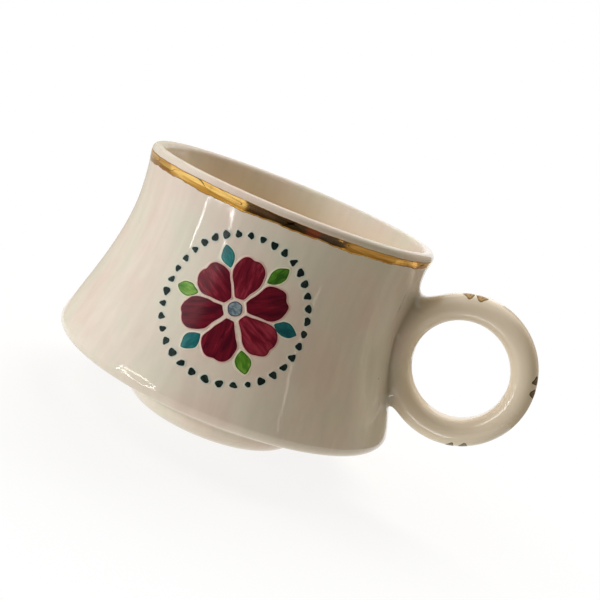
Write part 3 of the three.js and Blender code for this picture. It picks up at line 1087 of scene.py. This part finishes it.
def laying_tree() -> NodeTree:
    """Builds the tree that lays strokes on a turned surface.

    Each point of the host takes one stroke, at its place across and up the flat map of the surface, turned by
    its attribute turn. The map is then wrapped round the axis along the surface's outline.

    Returns:
        The tree.
    """
    tree, given = new_tree("lay strokes on a turned surface", {
        "Stroke": "Object", "Outline": "Object", "Girth": "Float", "Facing": "Float", "Middle": "Float",
        "Size Spread": "Float", "Turn Spread": "Float", "Wobble": "Float", "Wobble Scale": "Float",
        "Seed": "Int", "Axis Turn": "Rotation", "Axis Place": "Vector", "Material": "Material"})
    chance = add_node(tree, "FunctionNodeRandomValue", {2: 0.0, 3: 1.0, 8: given["Seed"]})
    tinted = add_node(tree, "GeometryNodeStoreNamedAttribute", {
        "Geometry": given["Geometry"], "Name": "tint", "Value": chance.outputs[1]}, domain="POINT")
    least = add_node(tree, "ShaderNodeMath", {0: 1.0, 1: given["Size Spread"]}, operation="SUBTRACT")
    most = add_node(tree, "ShaderNodeMath", {0: 1.0, 1: given["Size Spread"]}, operation="ADD")
    size = add_node(tree, "FunctionNodeRandomValue", {0: least, 1: most, 8: given["Seed"]},
                    data_type="FLOAT_VECTOR")
    back = add_node(tree, "ShaderNodeMath", {0: 0.0, 1: given["Turn Spread"]}, operation="SUBTRACT")
    jitter = add_node(tree, "FunctionNodeRandomValue", {2: back, 3: given["Turn Spread"], 8: given["Seed"]})
    turn = add_node(tree, "GeometryNodeInputNamedAttribute", {"Name": "turn"})
    whole_turn = add_node(tree, "ShaderNodeMath", {0: turn, 1: jitter.outputs[1]}, operation="ADD")
    euler = add_node(tree, "ShaderNodeCombineXYZ", {"Z": whole_turn})
    rotation = add_node(tree, "FunctionNodeEulerToRotation", {"Euler": euler})
    shape, outline = (
        add_node(tree, "GeometryNodeObjectInfo", {"Object": given[name]}).outputs["Geometry"]
        for name in ("Stroke", "Outline"))
    copies = add_node(tree, "GeometryNodeInstanceOnPoints", {
        "Points": tinted, "Instance": shape, "Rotation": rotation, "Scale": size})
    real = add_node(tree, "GeometryNodeRealizeInstances", {"Geometry": copies})
    place = add_node(tree, "GeometryNodeInputPosition")
    noise = add_node(tree, "ShaderNodeTexNoise", {
        "Vector": place, "W": given["Seed"], "Scale": given["Wobble Scale"], "Detail": 1.0},
        noise_dimensions="4D")
    sway = add_node(tree, "ShaderNodeVectorMath", {0: noise.outputs["Color"], 1: (NOISE_MEAN,) * 3},
                    operation="SUBTRACT")
    hand = add_node(tree, "ShaderNodeVectorMath", {0: sway, "Scale": given["Wobble"]}, operation="SCALE")
    flat = add_node(tree, "ShaderNodeVectorMath", {0: hand, 1: (1.0, 1.0, 0.0), 2: place},
                    operation="MULTIPLY_ADD")
    part = add_node(tree, "ShaderNodeSeparateXYZ", {"Vector": flat})
    along = add_node(tree, "ShaderNodeMath", {0: given["Middle"], 1: part.outputs["Y"]}, operation="ADD")
    spot = add_node(tree, "GeometryNodeSampleCurve", {"Curves": outline, "Length": along}, mode="LENGTH")
    at, tangent = (add_node(tree, "ShaderNodeSeparateXYZ", {"Vector": spot.outputs[name]})
                   for name in ("Position", "Tangent"))
    radius = add_node(tree, "ShaderNodeMath", {0: tangent.outputs["Z"], 1: part.outputs["Z"], 2: at},
                      operation="MULTIPLY_ADD")
    dip = add_node(tree, "ShaderNodeMath", {0: tangent, 1: part.outputs["Z"]}, operation="MULTIPLY")
    height = add_node(tree, "ShaderNodeMath", {0: at.outputs["Z"], 1: dip}, operation="SUBTRACT")
    bend = add_node(tree, "ShaderNodeMath", {0: part, 1: given["Girth"]}, operation="DIVIDE")
    angle = add_node(tree, "ShaderNodeMath", {0: bend, 1: given["Facing"]}, operation="ADD")
    laid = add_node(tree, "GeometryNodeSetPosition", {
        "Geometry": real, "Position": wrap(tree, radius, angle, height)})
    closed = add_node(tree, "GeometryNodeMergeByDistance", {"Geometry": laid, "Distance": WELD * MM})
    moved = add_node(tree, "GeometryNodeTransform", {
        "Geometry": closed, "Translation": given["Axis Place"], "Rotation": given["Axis Turn"]})
    end_tree(tree, moved, given["Material"])
    return tree


@dataclass(frozen=True)
class Ground:
    """A turned surface that strokes are laid on."""

    outline: np.ndarray  # radius and place along the axis
    girth: float  # radius at which the flat map keeps its width
    middle: float = 0.0  # length along the outline up to the map's middle
    facing: float = 0.0  # degrees round the axis
    axis_turn: tuple[float, float, float] = (0.0, 0.0, 0.0)  # degrees
    axis_place: tuple[float, float, float] = (0.0, 0.0, 0.0)

    def lay(self, name: str, places: np.ndarray, stroke: Object, material: Material,
            **hand: float) -> Object:
        """Lays a stroke at each place.

        Args:
            name: Name of the finished piece.
            places: Place across, place up and turn in degrees, one row for each stroke.
            stroke: Flat stroke, which is used up.
            material: Finish of the strokes.
            hand: Spreads of size and turn, and the wobble with its size, by the tree's names in small
                letters.

        Returns:
            The finished piece.
        """
        spots = np.column_stack([places[:, :2], np.zeros(len(places))])
        piece = make_mesh(name, spots, turn=np.radians(places[:, 2]))
        return grow(piece, laying_tree(), {
            "Stroke": stroke, "Outline": make_line(f"{name}_outline", self.outline),
            "Girth": self.girth * MM, "Facing": math.radians(self.facing), "Middle": self.middle * MM,
            "Size Spread": hand.get("size_spread", 0.0),
            "Turn Spread": math.radians(hand.get("turn_spread", 0.0)),
            "Wobble": hand.get("wobble", 0.0) * MM,
            "Wobble Scale": per_size(hand.get("wobble_size", 3.0)),
            "Seed": SEED, "Axis Turn": [math.radians(angle) for angle in self.axis_turn],
            "Axis Place": [place * MM for place in self.axis_place], "Material": material})


@dataclass
class Gilding:
    """The gilt band under the lip and the gilt dabs on the ring, all brushed on by hand."""

    bowl: Bowl
    handle: Handle
    band_drop: float = 0.2
    band_width: float = 2.1
    band_sway: float = 0.28
    wide_side: float = -140.0  # degrees round the bowl where the brush was loaded most
    band_waves: tuple[tuple[float, int, float], ...] = (  # height, number and phase of the ripples
        (0.12, 7, 1.1), (0.1, 19, 0.4), (0.07, 43, 2.0), (0.04, 97, 0.9))
    upper_wave: tuple[float, int, float] = (0.4, 3, 0.8)  # the upper edge's share of sway, number, phase
    upper_ripple: float = 0.3  # the upper edge's share of the ripples
    band_steps: int = 720
    band_rows: int = 9
    band_brim: float = 0.25  # width of the slope along its edges
    bleed: float = 0.012  # height of its edges
    root: float = 0.05  # how deep it is bonded into the glaze
    film: float = 0.05
    lip_points: int = 5  # of the lip's round, for the upper edge to sway into
    dab_radius: float = 1.25
    dab_length: float = 1.7  # between the middles of its round end and its blunt tip
    tip_radius: float = 0.5
    round_steps: int = 24
    tip_steps: int = 12
    edge_turn: float = 85.0  # degrees of the ring's rounded edge that the dabs may lie on
    dab_end: float = 4.0  # from the middle of the ring's outer face round its front edge to the tips
    dab_turn: float = 90.0  # tips to the front
    dab_spacing: float = 3.2
    bright_pair: float = 101.0  # degrees round the ring, on its top
    shaded_pairs: tuple[float, ...] = (12.0, -69.0)  # on the ring's outer side and underneath, where the dabs take painted shade
    shaded_size: float = 0.75
    gold: Lustre = Lustre("gold_lustre_band")
    bright: Lustre = Lustre("gold_lustre_dabs", "#bd9a66", "#7d633f", edge="#7a6241", streak_length=0.9,
                            edge_width=0.4, painted_shade_edge=NO_PAINTED_SHADE, roughness=0.32)
    # painted shade: the side and lower dabs are a darker copy of the bright top dabs' finish
    shaded_lustre: Lustre = replace(bright, name="shaded_gold_lustre_dabs", gold="#8f826b", amber="#5c5344",
                           edge="#4a4338", roughness=0.36)

    def band_template(self, girth: float) -> Object:
        """Makes the band as a flat strip, once round the bowl, with a wandering lower edge.

        Args:
            girth: Radius that the strip goes round.

        Returns:
            The strip, closed in section, which meets itself when it is wrapped.
        """
        rows = self.band_rows
        angle = np.linspace(-math.pi, math.pi, self.band_steps + 1)
        wide = np.cos(angle - math.radians(self.wide_side))
        ripple = sum(height * np.sin(number * angle + phase) for height, number, phase in self.band_waves)
        part, number, phase = self.upper_wave
        sway = part * self.band_sway * np.sin(number * angle + phase)
        top = self.band_width / 2 + sway + self.upper_ripple * ripple
        low = -self.band_width / 2 - self.band_sway * wide - ripple
        share = np.linspace(0, 1, rows)[None]
        up = low[:, None] + (top - low)[:, None] * share
        inset = np.minimum(share, 1 - share) * (top - low)[:, None]
        lift = self.bleed + self.film * np.clip(inset / self.band_brim, 0, 1)
        flat = np.stack([np.repeat(angle[:, None] * girth, rows, 1), up], -1)
        upper = np.concatenate([flat, lift[..., None]], -1).reshape(-1, 3)
        under = np.concatenate([flat, np.full((*lift.shape, 1), -self.root)], -1).reshape(-1, 3)
        count, end = len(upper), rows - 1
        faces = []
        for first in range(0, self.band_steps * rows, rows):
            second = first + rows
            for j in range(end):
                faces += two_sided((first + j, second + j, second + j + 1, first + j + 1), count)
            faces.append((first, count + first, count + second, second))
            faces.append((first + end, second + end, count + second + end, count + first + end))
        stroke = np.column_stack([upper[:, :2], np.zeros(count)])
        return make_mesh("band_stroke", np.concatenate([upper, under]), faces,
                         stroke=np.tile(stroke, (2, 1)), inset=np.tile(inset.ravel(), 2))

    def dab_outline(self) -> np.ndarray:
        """Traces a drop with its blunt tip along X.

        Returns:
            Points round the drop.
        """
        side = math.degrees(math.acos((self.dab_radius - self.tip_radius) / self.dab_length))
        round_end = arc((0, 0), (self.dab_radius,) * 2, side, 360 - side, self.round_steps)
        tip = arc((self.dab_length, 0), (self.tip_radius,) * 2, -side, side, self.tip_steps)
        return np.concatenate([round_end, tip])

    def lay_band(self) -> None:
        """Lays the band on the flare, up to the edge of the lip."""
        outside = self.bowl.outside(LAYING_STEPS)
        line = np.concatenate([outside, self.bowl.lip()[1:1 + self.lip_points]])
        middle = lengths(outside)[-1] - self.band_drop - self.band_width / 2
        rim = Ground(line, self.bowl.rim_radius, middle)
        band = rim.lay("rim_gilding", np.zeros((1, 3)), self.band_template(rim.girth), self.gold.material())
        settle(band, ["rim_band"])

    def lay_dabs(self) -> None:
        """Lays the dabs on the ring in pairs, from its outer face round its front edge."""
        reach, corner = self.handle.outer_radius, self.handle.corner
        front = arc((reach - corner, self.handle.depth / 2 - corner), (corner, corner), 0, self.edge_turn,
                    self.round_steps)
        face = np.concatenate([front[::-1] * (1, -1), front])
        across, height = self.handle.centre
        ring = Ground(face, reach, lengths(face)[-1] / 2, axis_turn=(90.0, 0.0, 0.0),
                      axis_place=(across, 0.0, height))
        step = math.degrees(self.dab_spacing / reach) / 2
        first = 1
        # the top pair in the bright finish, the others in its darker painted-shade copy
        for name, pairs, size, finish in (
                ("handle_gilding", (self.bright_pair,), 1.0, self.bright),
                ("worn_handle_gilding", self.shaded_pairs, self.shaded_size, self.shaded_lustre)):
            turns = [turn + sign * step for turn in pairs for sign in (1, -1)]
            up = self.dab_end - (self.dab_length + self.tip_radius) * size
            places = np.array([(math.radians(turn) * reach, up, self.dab_turn) for turn in turns])
            stroke = Stroke(self.dab_outline() * size, margin=0.1, thickness=self.film, bleed=0.01, brim=0.3)
            dabs = ring.lay(name, places, stroke.template(f"{name}_stroke"), finish.material(),
                            size_spread=0.12, turn_spread=25.0, wobble=0.5, wobble_size=1.6)
            settle(dabs, [f"handle_dab_{first + i}" for i in range(len(turns))])
            first += len(turns)

    def build(self) -> None:
        """Lays the band, then the dabs."""
        self.lay_band()
        self.lay_dabs()


@dataclass
class Rosette:
    """The enamelled rosette: petals round a heart, leaves between their ends and a ring of dots."""

    bowl: Bowl
    turn: float = -82.0  # degrees round the bowl
    rise: float = 0.2  # above the middle of the wall
    upright: float = 90.0  # turn of the first petal
    petals: int = 6
    petal_reach: float = 12.0
    petal_gap: float = 0.8
    petal_points: int = 61  # round its end
    petal_notch: float = 0.5
    notch_spread: float = 16.0  # degrees round the petal's end
    heart_radius: float = 1.7
    heart_points: int = 36
    leaf_tuck: float = 2.0
    leaf_length: float = 5.4
    leaf_width: float = 3.2
    leaf_margin: float = 1.2
    leaf_steps: int = 24  # on each side
    dots: int = 36
    dot_radius: float = 0.8
    dot_points: int = 48
    dot_corners: int = 3
    dot_bulge: float = 0.13  # share of its radius by which a corner stands out
    crimson: Enamel = Enamel("crimson_enamel", "#4a0a1a", "#6f1325", "#9a3444", "#dcaea8", "#4c0c1c")
    slate: Enamel = Enamel("slate_enamel", "#3a4356", "#5f7383", "#9fb0b4", "#dcc0ba", "#343c4c",
                           streak_length=1.5)
    teal: Enamel = Enamel("teal_enamel", "#13525a", "#1e6d71", "#3d908f", "#dfe0d2", "#15535a",
                          streak_length=3.0)
    green: Enamel = Enamel("green_enamel", "#2f5f16", "#5a912b", "#93ba55", "#dddfc2", "#2f5a18",
                           streak_length=3.0)
    pine: Enamel = Enamel("pine_enamel", "#131c19", "#1b2622", "#333e38", "#c3cfca", "#14201c",
                          streak_length=1.0, streak_width=0.6, margin_width=0.32, rim_width=0.2, gloss=0.2)

    @property
    def half(self) -> float:
        """Half the angle of a petal's sector, in radians."""
        return math.pi / self.petals

    @property
    def petal_centre(self) -> float:
        """Distance from the heart to the middle of a petal's round end."""
        return (self.petal_reach + self.petal_gap / 2) / (1 + math.sin(self.half))

    def petal(self) -> np.ndarray:
        """Traces a petal along X: straight sides from the heart and a round, notched end.

        Returns:
            Points round the petal.
        """
        start = self.heart_radius + self.petal_gap
        width = start * math.tan(self.half) - self.petal_gap / 2 / math.cos(self.half)
        reach = self.petal_reach - self.petal_centre
        span = 90 + math.degrees(self.half)
        angles = np.linspace(-span, span, self.petal_points)
        radius = reach - self.petal_notch * np.exp(-(angles / self.notch_spread) ** 2)
        turn = np.radians(angles)
        end = np.stack([self.petal_centre + radius * np.cos(turn), radius * np.sin(turn)], 1)
        return np.concatenate([[(start, width), (start, -width)], end])

    def leaf(self) -> np.ndarray:
        """Traces a leaf along X, pointed at both ends.

        Returns:
            Points round the leaf.
        """
        tip = (self.leaf_length, 0.0)
        lower = bezier([(0, 0), (self.leaf_length / 2, -self.leaf_width), tip], self.leaf_steps)
        upper = bezier([tip, (self.leaf_length / 2, self.leaf_width), (0, 0)], self.leaf_steps)
        return np.concatenate([lower[:-1], upper[:-1]])

    def dot(self) -> np.ndarray:
        """Traces one dot, a touch of the brush that is slightly three-cornered.

        Returns:
            Points round the dot.
        """
        turn = np.linspace(0, 2 * math.pi, self.dot_points, endpoint=False)
        radius = self.dot_radius * (1 + self.dot_bulge * np.cos(self.dot_corners * turn))
        return np.stack([radius * np.cos(turn), radius * np.sin(turn)], 1)

    def around(self, count: int, reach: float, first: float) -> np.ndarray:
        """Spreads places evenly round the heart.

        Args:
            count: Number of places.
            reach: Distance of each from the heart.
            first: Angle of the first, in degrees.

        Returns:
            Place across, place up and turn in degrees, one row each.
        """
        angles = first + 360 / count * np.arange(count)
        turn = np.radians(angles)
        return np.stack([reach * np.cos(turn), reach * np.sin(turn), angles], 1)

    def build(self) -> list[Object]:
        """Lays all strokes of the rosette on the wall.

        Returns:
            The pieces.
        """
        line = self.bowl.outside(LAYING_STEPS)
        length = lengths(line)
        middle = length[-1] / 2 + self.rise
        wall = Ground(line, float(np.interp(middle, length, line[:, 0])), middle, self.turn)
        leaf_start = self.petal_centre * math.cos(self.half) + self.leaf_tuck
        dot_reach = leaf_start + self.leaf_length + self.leaf_margin + self.dot_radius
        step = 360 / self.petals
        leaf_hand = {"size_spread": 0.08, "turn_spread": 8.0, "wobble": 0.7, "wobble_size": 2.5}
        small = {"margin": self.pine.margin_width, "thickness": 0.06, "brim": 0.25, "points": 36, "rings": 8}
        layers = (
            ("rosette_petals", self.crimson, Slot.CRIMSON, self.petal(),
             self.around(self.petals, 0, self.upright), {},
             {"size_spread": 0.03, "turn_spread": 1.5, "wobble": 0.9, "wobble_size": 3.5},
             [f"petal_{i + 1}" for i in range(self.petals)]),
            ("rosette_heart", self.slate, Slot.SLATE, circle(self.heart_radius, self.heart_points),
             np.zeros((1, 3)), {}, {"wobble": 0.5, "wobble_size": 2.0}, ["flower_heart"]),
            ("teal_leaves", self.teal, Slot.TEAL, self.leaf(),
             self.around(self.petals // 2, leaf_start, self.upright + step / 2), {}, leaf_hand,
             [f"leaf_{i + 1}" for i in range(0, self.petals, 2)]),
            ("green_leaves", self.green, Slot.GREEN, self.leaf(),
             self.around(self.petals // 2, leaf_start, self.upright + step * 3 / 2), {}, leaf_hand,
             [f"leaf_{i + 1}" for i in range(1, self.petals, 2)]),
            ("dot_ring", self.pine, Slot.PINE, self.dot(), self.around(self.dots, dot_reach, 0), small,
             {"size_spread": 0.2, "turn_spread": 60.0, "wobble": 0.7, "wobble_size": 1.4},
             [f"dot_{i + 1}" for i in range(self.dots)]),
        )
        pieces = []
        for name, enamel, slot, outline, places, shape, hand, nodes in layers:
            stroke = Stroke(outline, **shape).template(f"{name}_stroke")
            piece = wall.lay(name, places, stroke, enamel.material(self.bowl.glaze), **hand)
            settle(piece, nodes)
            pieces.append(piece)
        return pieces


@dataclass
class View:
    """The camera, as close to the cup and as tilted as it was for the photograph."""

    target: tuple[float, float, float] = (9.91, 4.07, 36.89)
    distance: float = 300.0
    azimuth: float = -79.0  # degrees round from +X
    elevation: float = 10.06
    roll: float = 22.31
    lens: float = 71.55
    sensor: float = 36.0
    nearest: float = 10.0  # what is closer isn't seen

    def build(self) -> None:
        """Places the camera and makes it the scene's own."""
        back = towards(self.azimuth, self.elevation)
        lens = bpy.data.cameras.new("camera")
        lens.lens = self.lens
        lens.sensor_width = self.sensor
        lens.clip_start = self.nearest * MM
        camera = make_object("camera", lens)
        aim = (-back).to_track_quat("-Z", "Y").to_matrix().to_4x4()
        place = Matrix.Translation((Vector(self.target) + back * self.distance) * MM)
        camera.matrix_world = place @ aim @ Matrix.Rotation(math.radians(self.roll), 4, "Z")
        bpy.context.scene.camera = camera


@dataclass(frozen=True)
class Card:
    """A glowing ribbon on an upright drum round the cup, which the glaze and the gold mirror."""

    name: str
    path: tuple[Point, ...]  # degrees round the cup and height
    width: float
    colour: str
    strength: float = 1.0
    radius: float = 115.0
    on_gilt: bool = True  # whether the gilding mirrors it too
    stretch: float = 3.0  # length of one face
    least: int = 8  # fewest points along it

    def build(self, ungilt: Collection) -> None:
        """Makes the card.

        Args:
            ungilt: Collection of the pieces that mirror a card which the gilding doesn't.
        """
        flat = np.array(self.path) * (math.radians(self.radius), 1)
        line = spaced(flat, max(self.least, round(lengths(flat)[-1] / self.stretch)))
        ahead = np.gradient(line, axis=0)
        side = np.stack([-ahead[:, 1], ahead[:, 0]], 1) / np.linalg.norm(ahead, axis=1, keepdims=True)
        rows = []
        for edge in (-self.width / 2, self.width / 2):
            across, height = (line + side * edge).T
            turn = across / self.radius
            rows.append(np.stack([self.radius * np.cos(turn), self.radius * np.sin(turn), height], 1))
        count = len(line)
        faces = [(i + 1, i, count + i, count + i + 1) for i in range(count - 1)]
        card = make_mesh(self.name, np.concatenate(rows), faces)
        card.data.materials.append(self.glow())
        hide_from(card, (*MIRRORED, "shadow"))
        if not self.on_gilt:
            card.light_linking.receiver_collection = ungilt

    def glow(self) -> Material:
        """Makes the even glow of the card."""
        made = bpy.data.materials.new(self.name)
        tree = fresh_tree(made)
        light = add_node(tree, "ShaderNodeEmission", {
            "Color": linear(self.colour), "Strength": self.strength})
        add_node(tree, "ShaderNodeOutputMaterial", {"Surface": light})
        return made


@dataclass(frozen=True)
class Lamp:
    """A soft rectangular lamp that looks at the cup."""

    name: str
    azimuth: float
    elevation: float
    width: float
    height: float
    power: float
    colour: str
    distance: float = 900.0
    aim: float = 35.0  # height that it looks at

    def build(self) -> None:
        """Hangs the lamp, which the mirrored cards stand in for in the glaze."""
        lamp = make_lamp(self.name, self.width * MM, self.height * MM, self.power)
        lamp.data.color = linear(self.colour)[:3]
        way = towards(self.azimuth, self.elevation)
        lamp.location = (way * self.distance + Vector((0, 0, self.aim))) * MM
        lamp.rotation_euler = way.to_track_quat("Z", "Y").to_euler()
        hide_from(lamp, ("glossy",))


@dataclass(frozen=True)
class Glint:
    """A strip of light that only the ring handle mirrors, as a thin line along its ridges."""

    name: str
    start: tuple[float, float, float]
    end: tuple[float, float, float]
    width: float
    strength: float
    aim: tuple[float, float, float] = (53.6, 0.0, 38.3)

    def build(self, only: Collection) -> None:
        """Sets up the strip, square to its own length and turned to its aim.

        Args:
            only: Collection of the pieces that mirror it.
        """
        start, end, aim = (Vector(place) * MM for place in (self.start, self.end, self.aim))
        along = end - start
        away = (start + end) / 2 - aim
        away -= along * (away.dot(along) / along.length_squared)
        width = self.width * MM
        strip = make_lamp(self.name, along.length, width, self.strength * math.pi * along.length * width)
        axes = (along.normalized(), away.cross(along).normalized(), away.normalized())
        strip.matrix_world = Matrix.Translation((start + end) / 2) @ Matrix(axes).transposed().to_4x4()
        strip.light_linking.receiver_collection = only
        hide_from(strip, MIRRORED)


@dataclass
class Studio:
    """Daylight from the left, softer light from behind, a white floor and the cards that the cup mirrors."""

    lamps: tuple[Lamp, ...] = (
        Lamp("daylight", -139.0, 5.0, 600.0, 400.0, 5.75, "#fdfeff"),
        Lamp("skylight", -172.0, 45.0, 600.0, 400.0, 3.4, "#fdfeff"),
        Lamp("back_window", 86.0, 46.0, 900.0, 400.0, 8.7, "#fffefc"),
        Lamp("ceiling", 5.0, 65.0, 600.0, 500.0, 1.1, "#fffaf2"),
    )
    glints: tuple[Glint, ...] = (
        Glint("upright_glint", (-52.5, -106.0, 6.0), (-52.5, -106.0, 110.0), 30.0, 5.0),
        Glint("low_glint", (60.0, -25.5, 1.0), (36.0, -42.0, 1.0), 12.0, 5.0),
    )
    room_colour: str = "#ffe4a8"
    room_level: float = 0.16
    floor_radius: float = 1500.0
    floor_points: int = 72
    floor_drop: float = 0.02  # keeps it just under the standing face
    floor_colour: str = "#f2efe9"
    glow_colour: str = "#fff9ea"
    glow_levels: tuple[float, float] = (0.81, 0.44)  # light off the floor near the foot and farther away
    glow_reach: tuple[float, float] = (62.0, 110.0)
    shadow_share: float = 0.16  # how much of the floor's own shade the eye sees near the cup
    shadow_reach: tuple[float, float] = (40.0, 125.0)
    shade_width: float = 149.0
    shade_middle: float = 75.0  # height of the large cards' middle
    shade_radius: float = 116.0

    def cards(self) -> list[Card]:
        """Lists the cards.

        Returns:
            Bright lines in front and on the right, then large cards, dark in front and lighter elsewhere.
        """
        frame = {"colour": "#ffffff", "strength": 26.0, "radius": 150.0, "on_gilt": False}
        low = {"colour": "#fff8ea", "radius": 70.0}
        side = {"width": 1.2, "colour": "#fff4e0"}
        lines = [
            Card("left_line", ((-133.7, 13.5), (-133.4, 17.0), (-132.6, 24.0), (-131.8, 38.0)),
                 1.7, **frame),
            Card("right_line", ((-113.6, 12.5), (-111.0, 13.5), (-110.6, 17.0), (-108.8, 38.0)),
                 1.7, **frame),
            Card("cross_line", ((-133.7, 13.9), (-129.0, 12.8), (-122.5, 12.0), (-113.6, 11.4)),
                 0.5, **frame),
            Card("upper_line", (
                (-119.8, 21.1), (-115.8, 21.6), (-110.8, 22.0), (-106.4, 21.8), (-103.2, 20.0)),
                0.7, strength=13.0, **low),
            Card("lower_line", (
                (-119.5, 19.0), (-115.7, 14.0), (-112.0, 6.0), (-108.2, 4.0), (-101.4, 14.0)),
                3.0, strength=12.0, **low),
            Card("side_line", ((-40.0, 34.0), (-41.5, 42.0), (-40.2, 47.0), (-43.0, 52.0)),
                 strength=4.5, **side),
            Card("short_side_line", ((-35.0, 8.0), (-36.0, 20.0)), strength=5.0, **side),
        ]
        shades = (
            ("pale_card", 98.0, 188.0, "#cbc2b2"), ("slate_card", -104.0, -84.0, "#4d4659"),
            ("ink_card", -84.0, -63.0, "#3a394a"), ("plum_card", -63.0, -54.0, "#67404f"),
            ("blue_card", -54.0, -35.0, "#3f405c"), ("tan_card", -35.0, 60.0, "#a39480"))
        return lines + [
            Card(name, ((start, self.shade_middle), (end, self.shade_middle)), self.shade_width, colour,
                 radius=self.shade_radius)
            for name, start, end, colour in shades]

    def world(self) -> None:
        """Sets the world: white to look at and in mirrors, a dim warm room as light."""
        world = bpy.data.worlds.new("room")
        tree = fresh_tree(world)
        white = add_node(tree, "ShaderNodeBackground", {"Color": linear("#ffffff"), "Strength": 1.0})
        room = add_node(tree, "ShaderNodeBackground", {
            "Color": linear(self.room_colour), "Strength": self.room_level})
        mixed = add_node(tree, "ShaderNodeMixShader", {0: self.looked_at(tree), 1: room, 2: white})
        add_node(tree, "ShaderNodeOutputWorld", {"Surface": mixed})
        bpy.context.scene.world = world

    def looked_at(self, tree: NodeTree) -> Node:
        """Adds the share of rays that look at a surface rather than light it.

        Args:
            tree: Node tree of the floor or the world.

        Returns:
            Node whose first output is 1 for camera, glossy and transmission rays.
        """
        path = add_node(tree, "ShaderNodeLightPath").outputs
        either = add_node(tree, "ShaderNodeMath", {
            0: path["Is Camera Ray"], 1: path["Is Glossy Ray"]}, operation="MAXIMUM")
        return add_node(tree, "ShaderNodeMath", {0: either, 1: path["Is Transmission Ray"]},
                        operation="MAXIMUM")

    def floor(self) -> None:
        """Lays the white floor, which keeps the cup's shadow and fades into the white round it."""
        outline = circle(self.floor_radius, self.floor_points)
        points = np.column_stack([outline, np.full(len(outline), -self.floor_drop)])
        floor = make_mesh("floor", points, [range(len(points))])
        made = bpy.data.materials.new("white_seamless_paper")
        tree = fresh_tree(made)
        place = add_node(tree, "ShaderNodeTexCoord").outputs["Object"]
        away = add_node(tree, "ShaderNodeVectorMath", {0: place}, operation="LENGTH").outputs["Value"]
        white_share, level = (
            add_node(tree, "ShaderNodeMapRange", {
                "Value": away, "From Min": near * MM, "From Max": far * MM, "To Min": first, "To Max": last},
                interpolation_type="SMOOTHSTEP")
            for (near, far), (first, last) in (
                (self.shadow_reach, (1 - self.shadow_share, 1.0)), (self.glow_reach, self.glow_levels)))
        looked_at = self.looked_at(tree)
        share = add_node(tree, "ShaderNodeMath", {0: white_share, 1: looked_at}, operation="MULTIPLY")
        paper = add_node(tree, "ShaderNodeBsdfDiffuse", {"Color": linear(self.floor_colour)})
        glow = add_node(tree, "ShaderNodeEmission", {"Color": linear(self.glow_colour), "Strength": level})
        seen = add_node(tree, "ShaderNodeMixShader", {0: looked_at, 1: glow, 2: paper})
        white = add_node(tree, "ShaderNodeEmission", {"Color": linear("#ffffff"), "Strength": 1.0})
        mixed = add_node(tree, "ShaderNodeMixShader", {0: share, 1: seen, 2: white})
        add_node(tree, "ShaderNodeOutputMaterial", {"Surface": mixed})
        floor.data.materials.append(made)

    def build(self, handle: Object, glazed: list[Object]) -> None:
        """Sets up the light, the floor, the cards and the view settings.

        Args:
            handle: Piece that mirrors the glints.
            glazed: Pieces that aren't gilt.
        """
        bpy.context.scene.view_settings.view_transform = "Standard"
        self.world()
        self.floor()
        for lamp in self.lamps:
            lamp.build()
        only = bpy.data.collections.new("glint_on")
        only.objects.link(handle)
        for glint in self.glints:
            glint.build(only)
        ungilt = bpy.data.collections.new("line_on")
        for piece in glazed:
            ungilt.objects.link(piece)
        for card in self.cards():
            card.build(ungilt)


def main() -> None:
    """Builds the cup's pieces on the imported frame, then the studio and the camera."""
    logging.basicConfig(level=logging.INFO, format="%(name)s: %(message)s")
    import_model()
    bowl = Bowl(Glaze())
    body = bowl.build()
    handle = Handle(bowl)
    ring = handle.build()
    Gilding(bowl, handle).build()
    Studio().build(ring, [body, ring, *Rosette(bowl).build()])
    View().build()


if __name__ == "__main__":
    main()
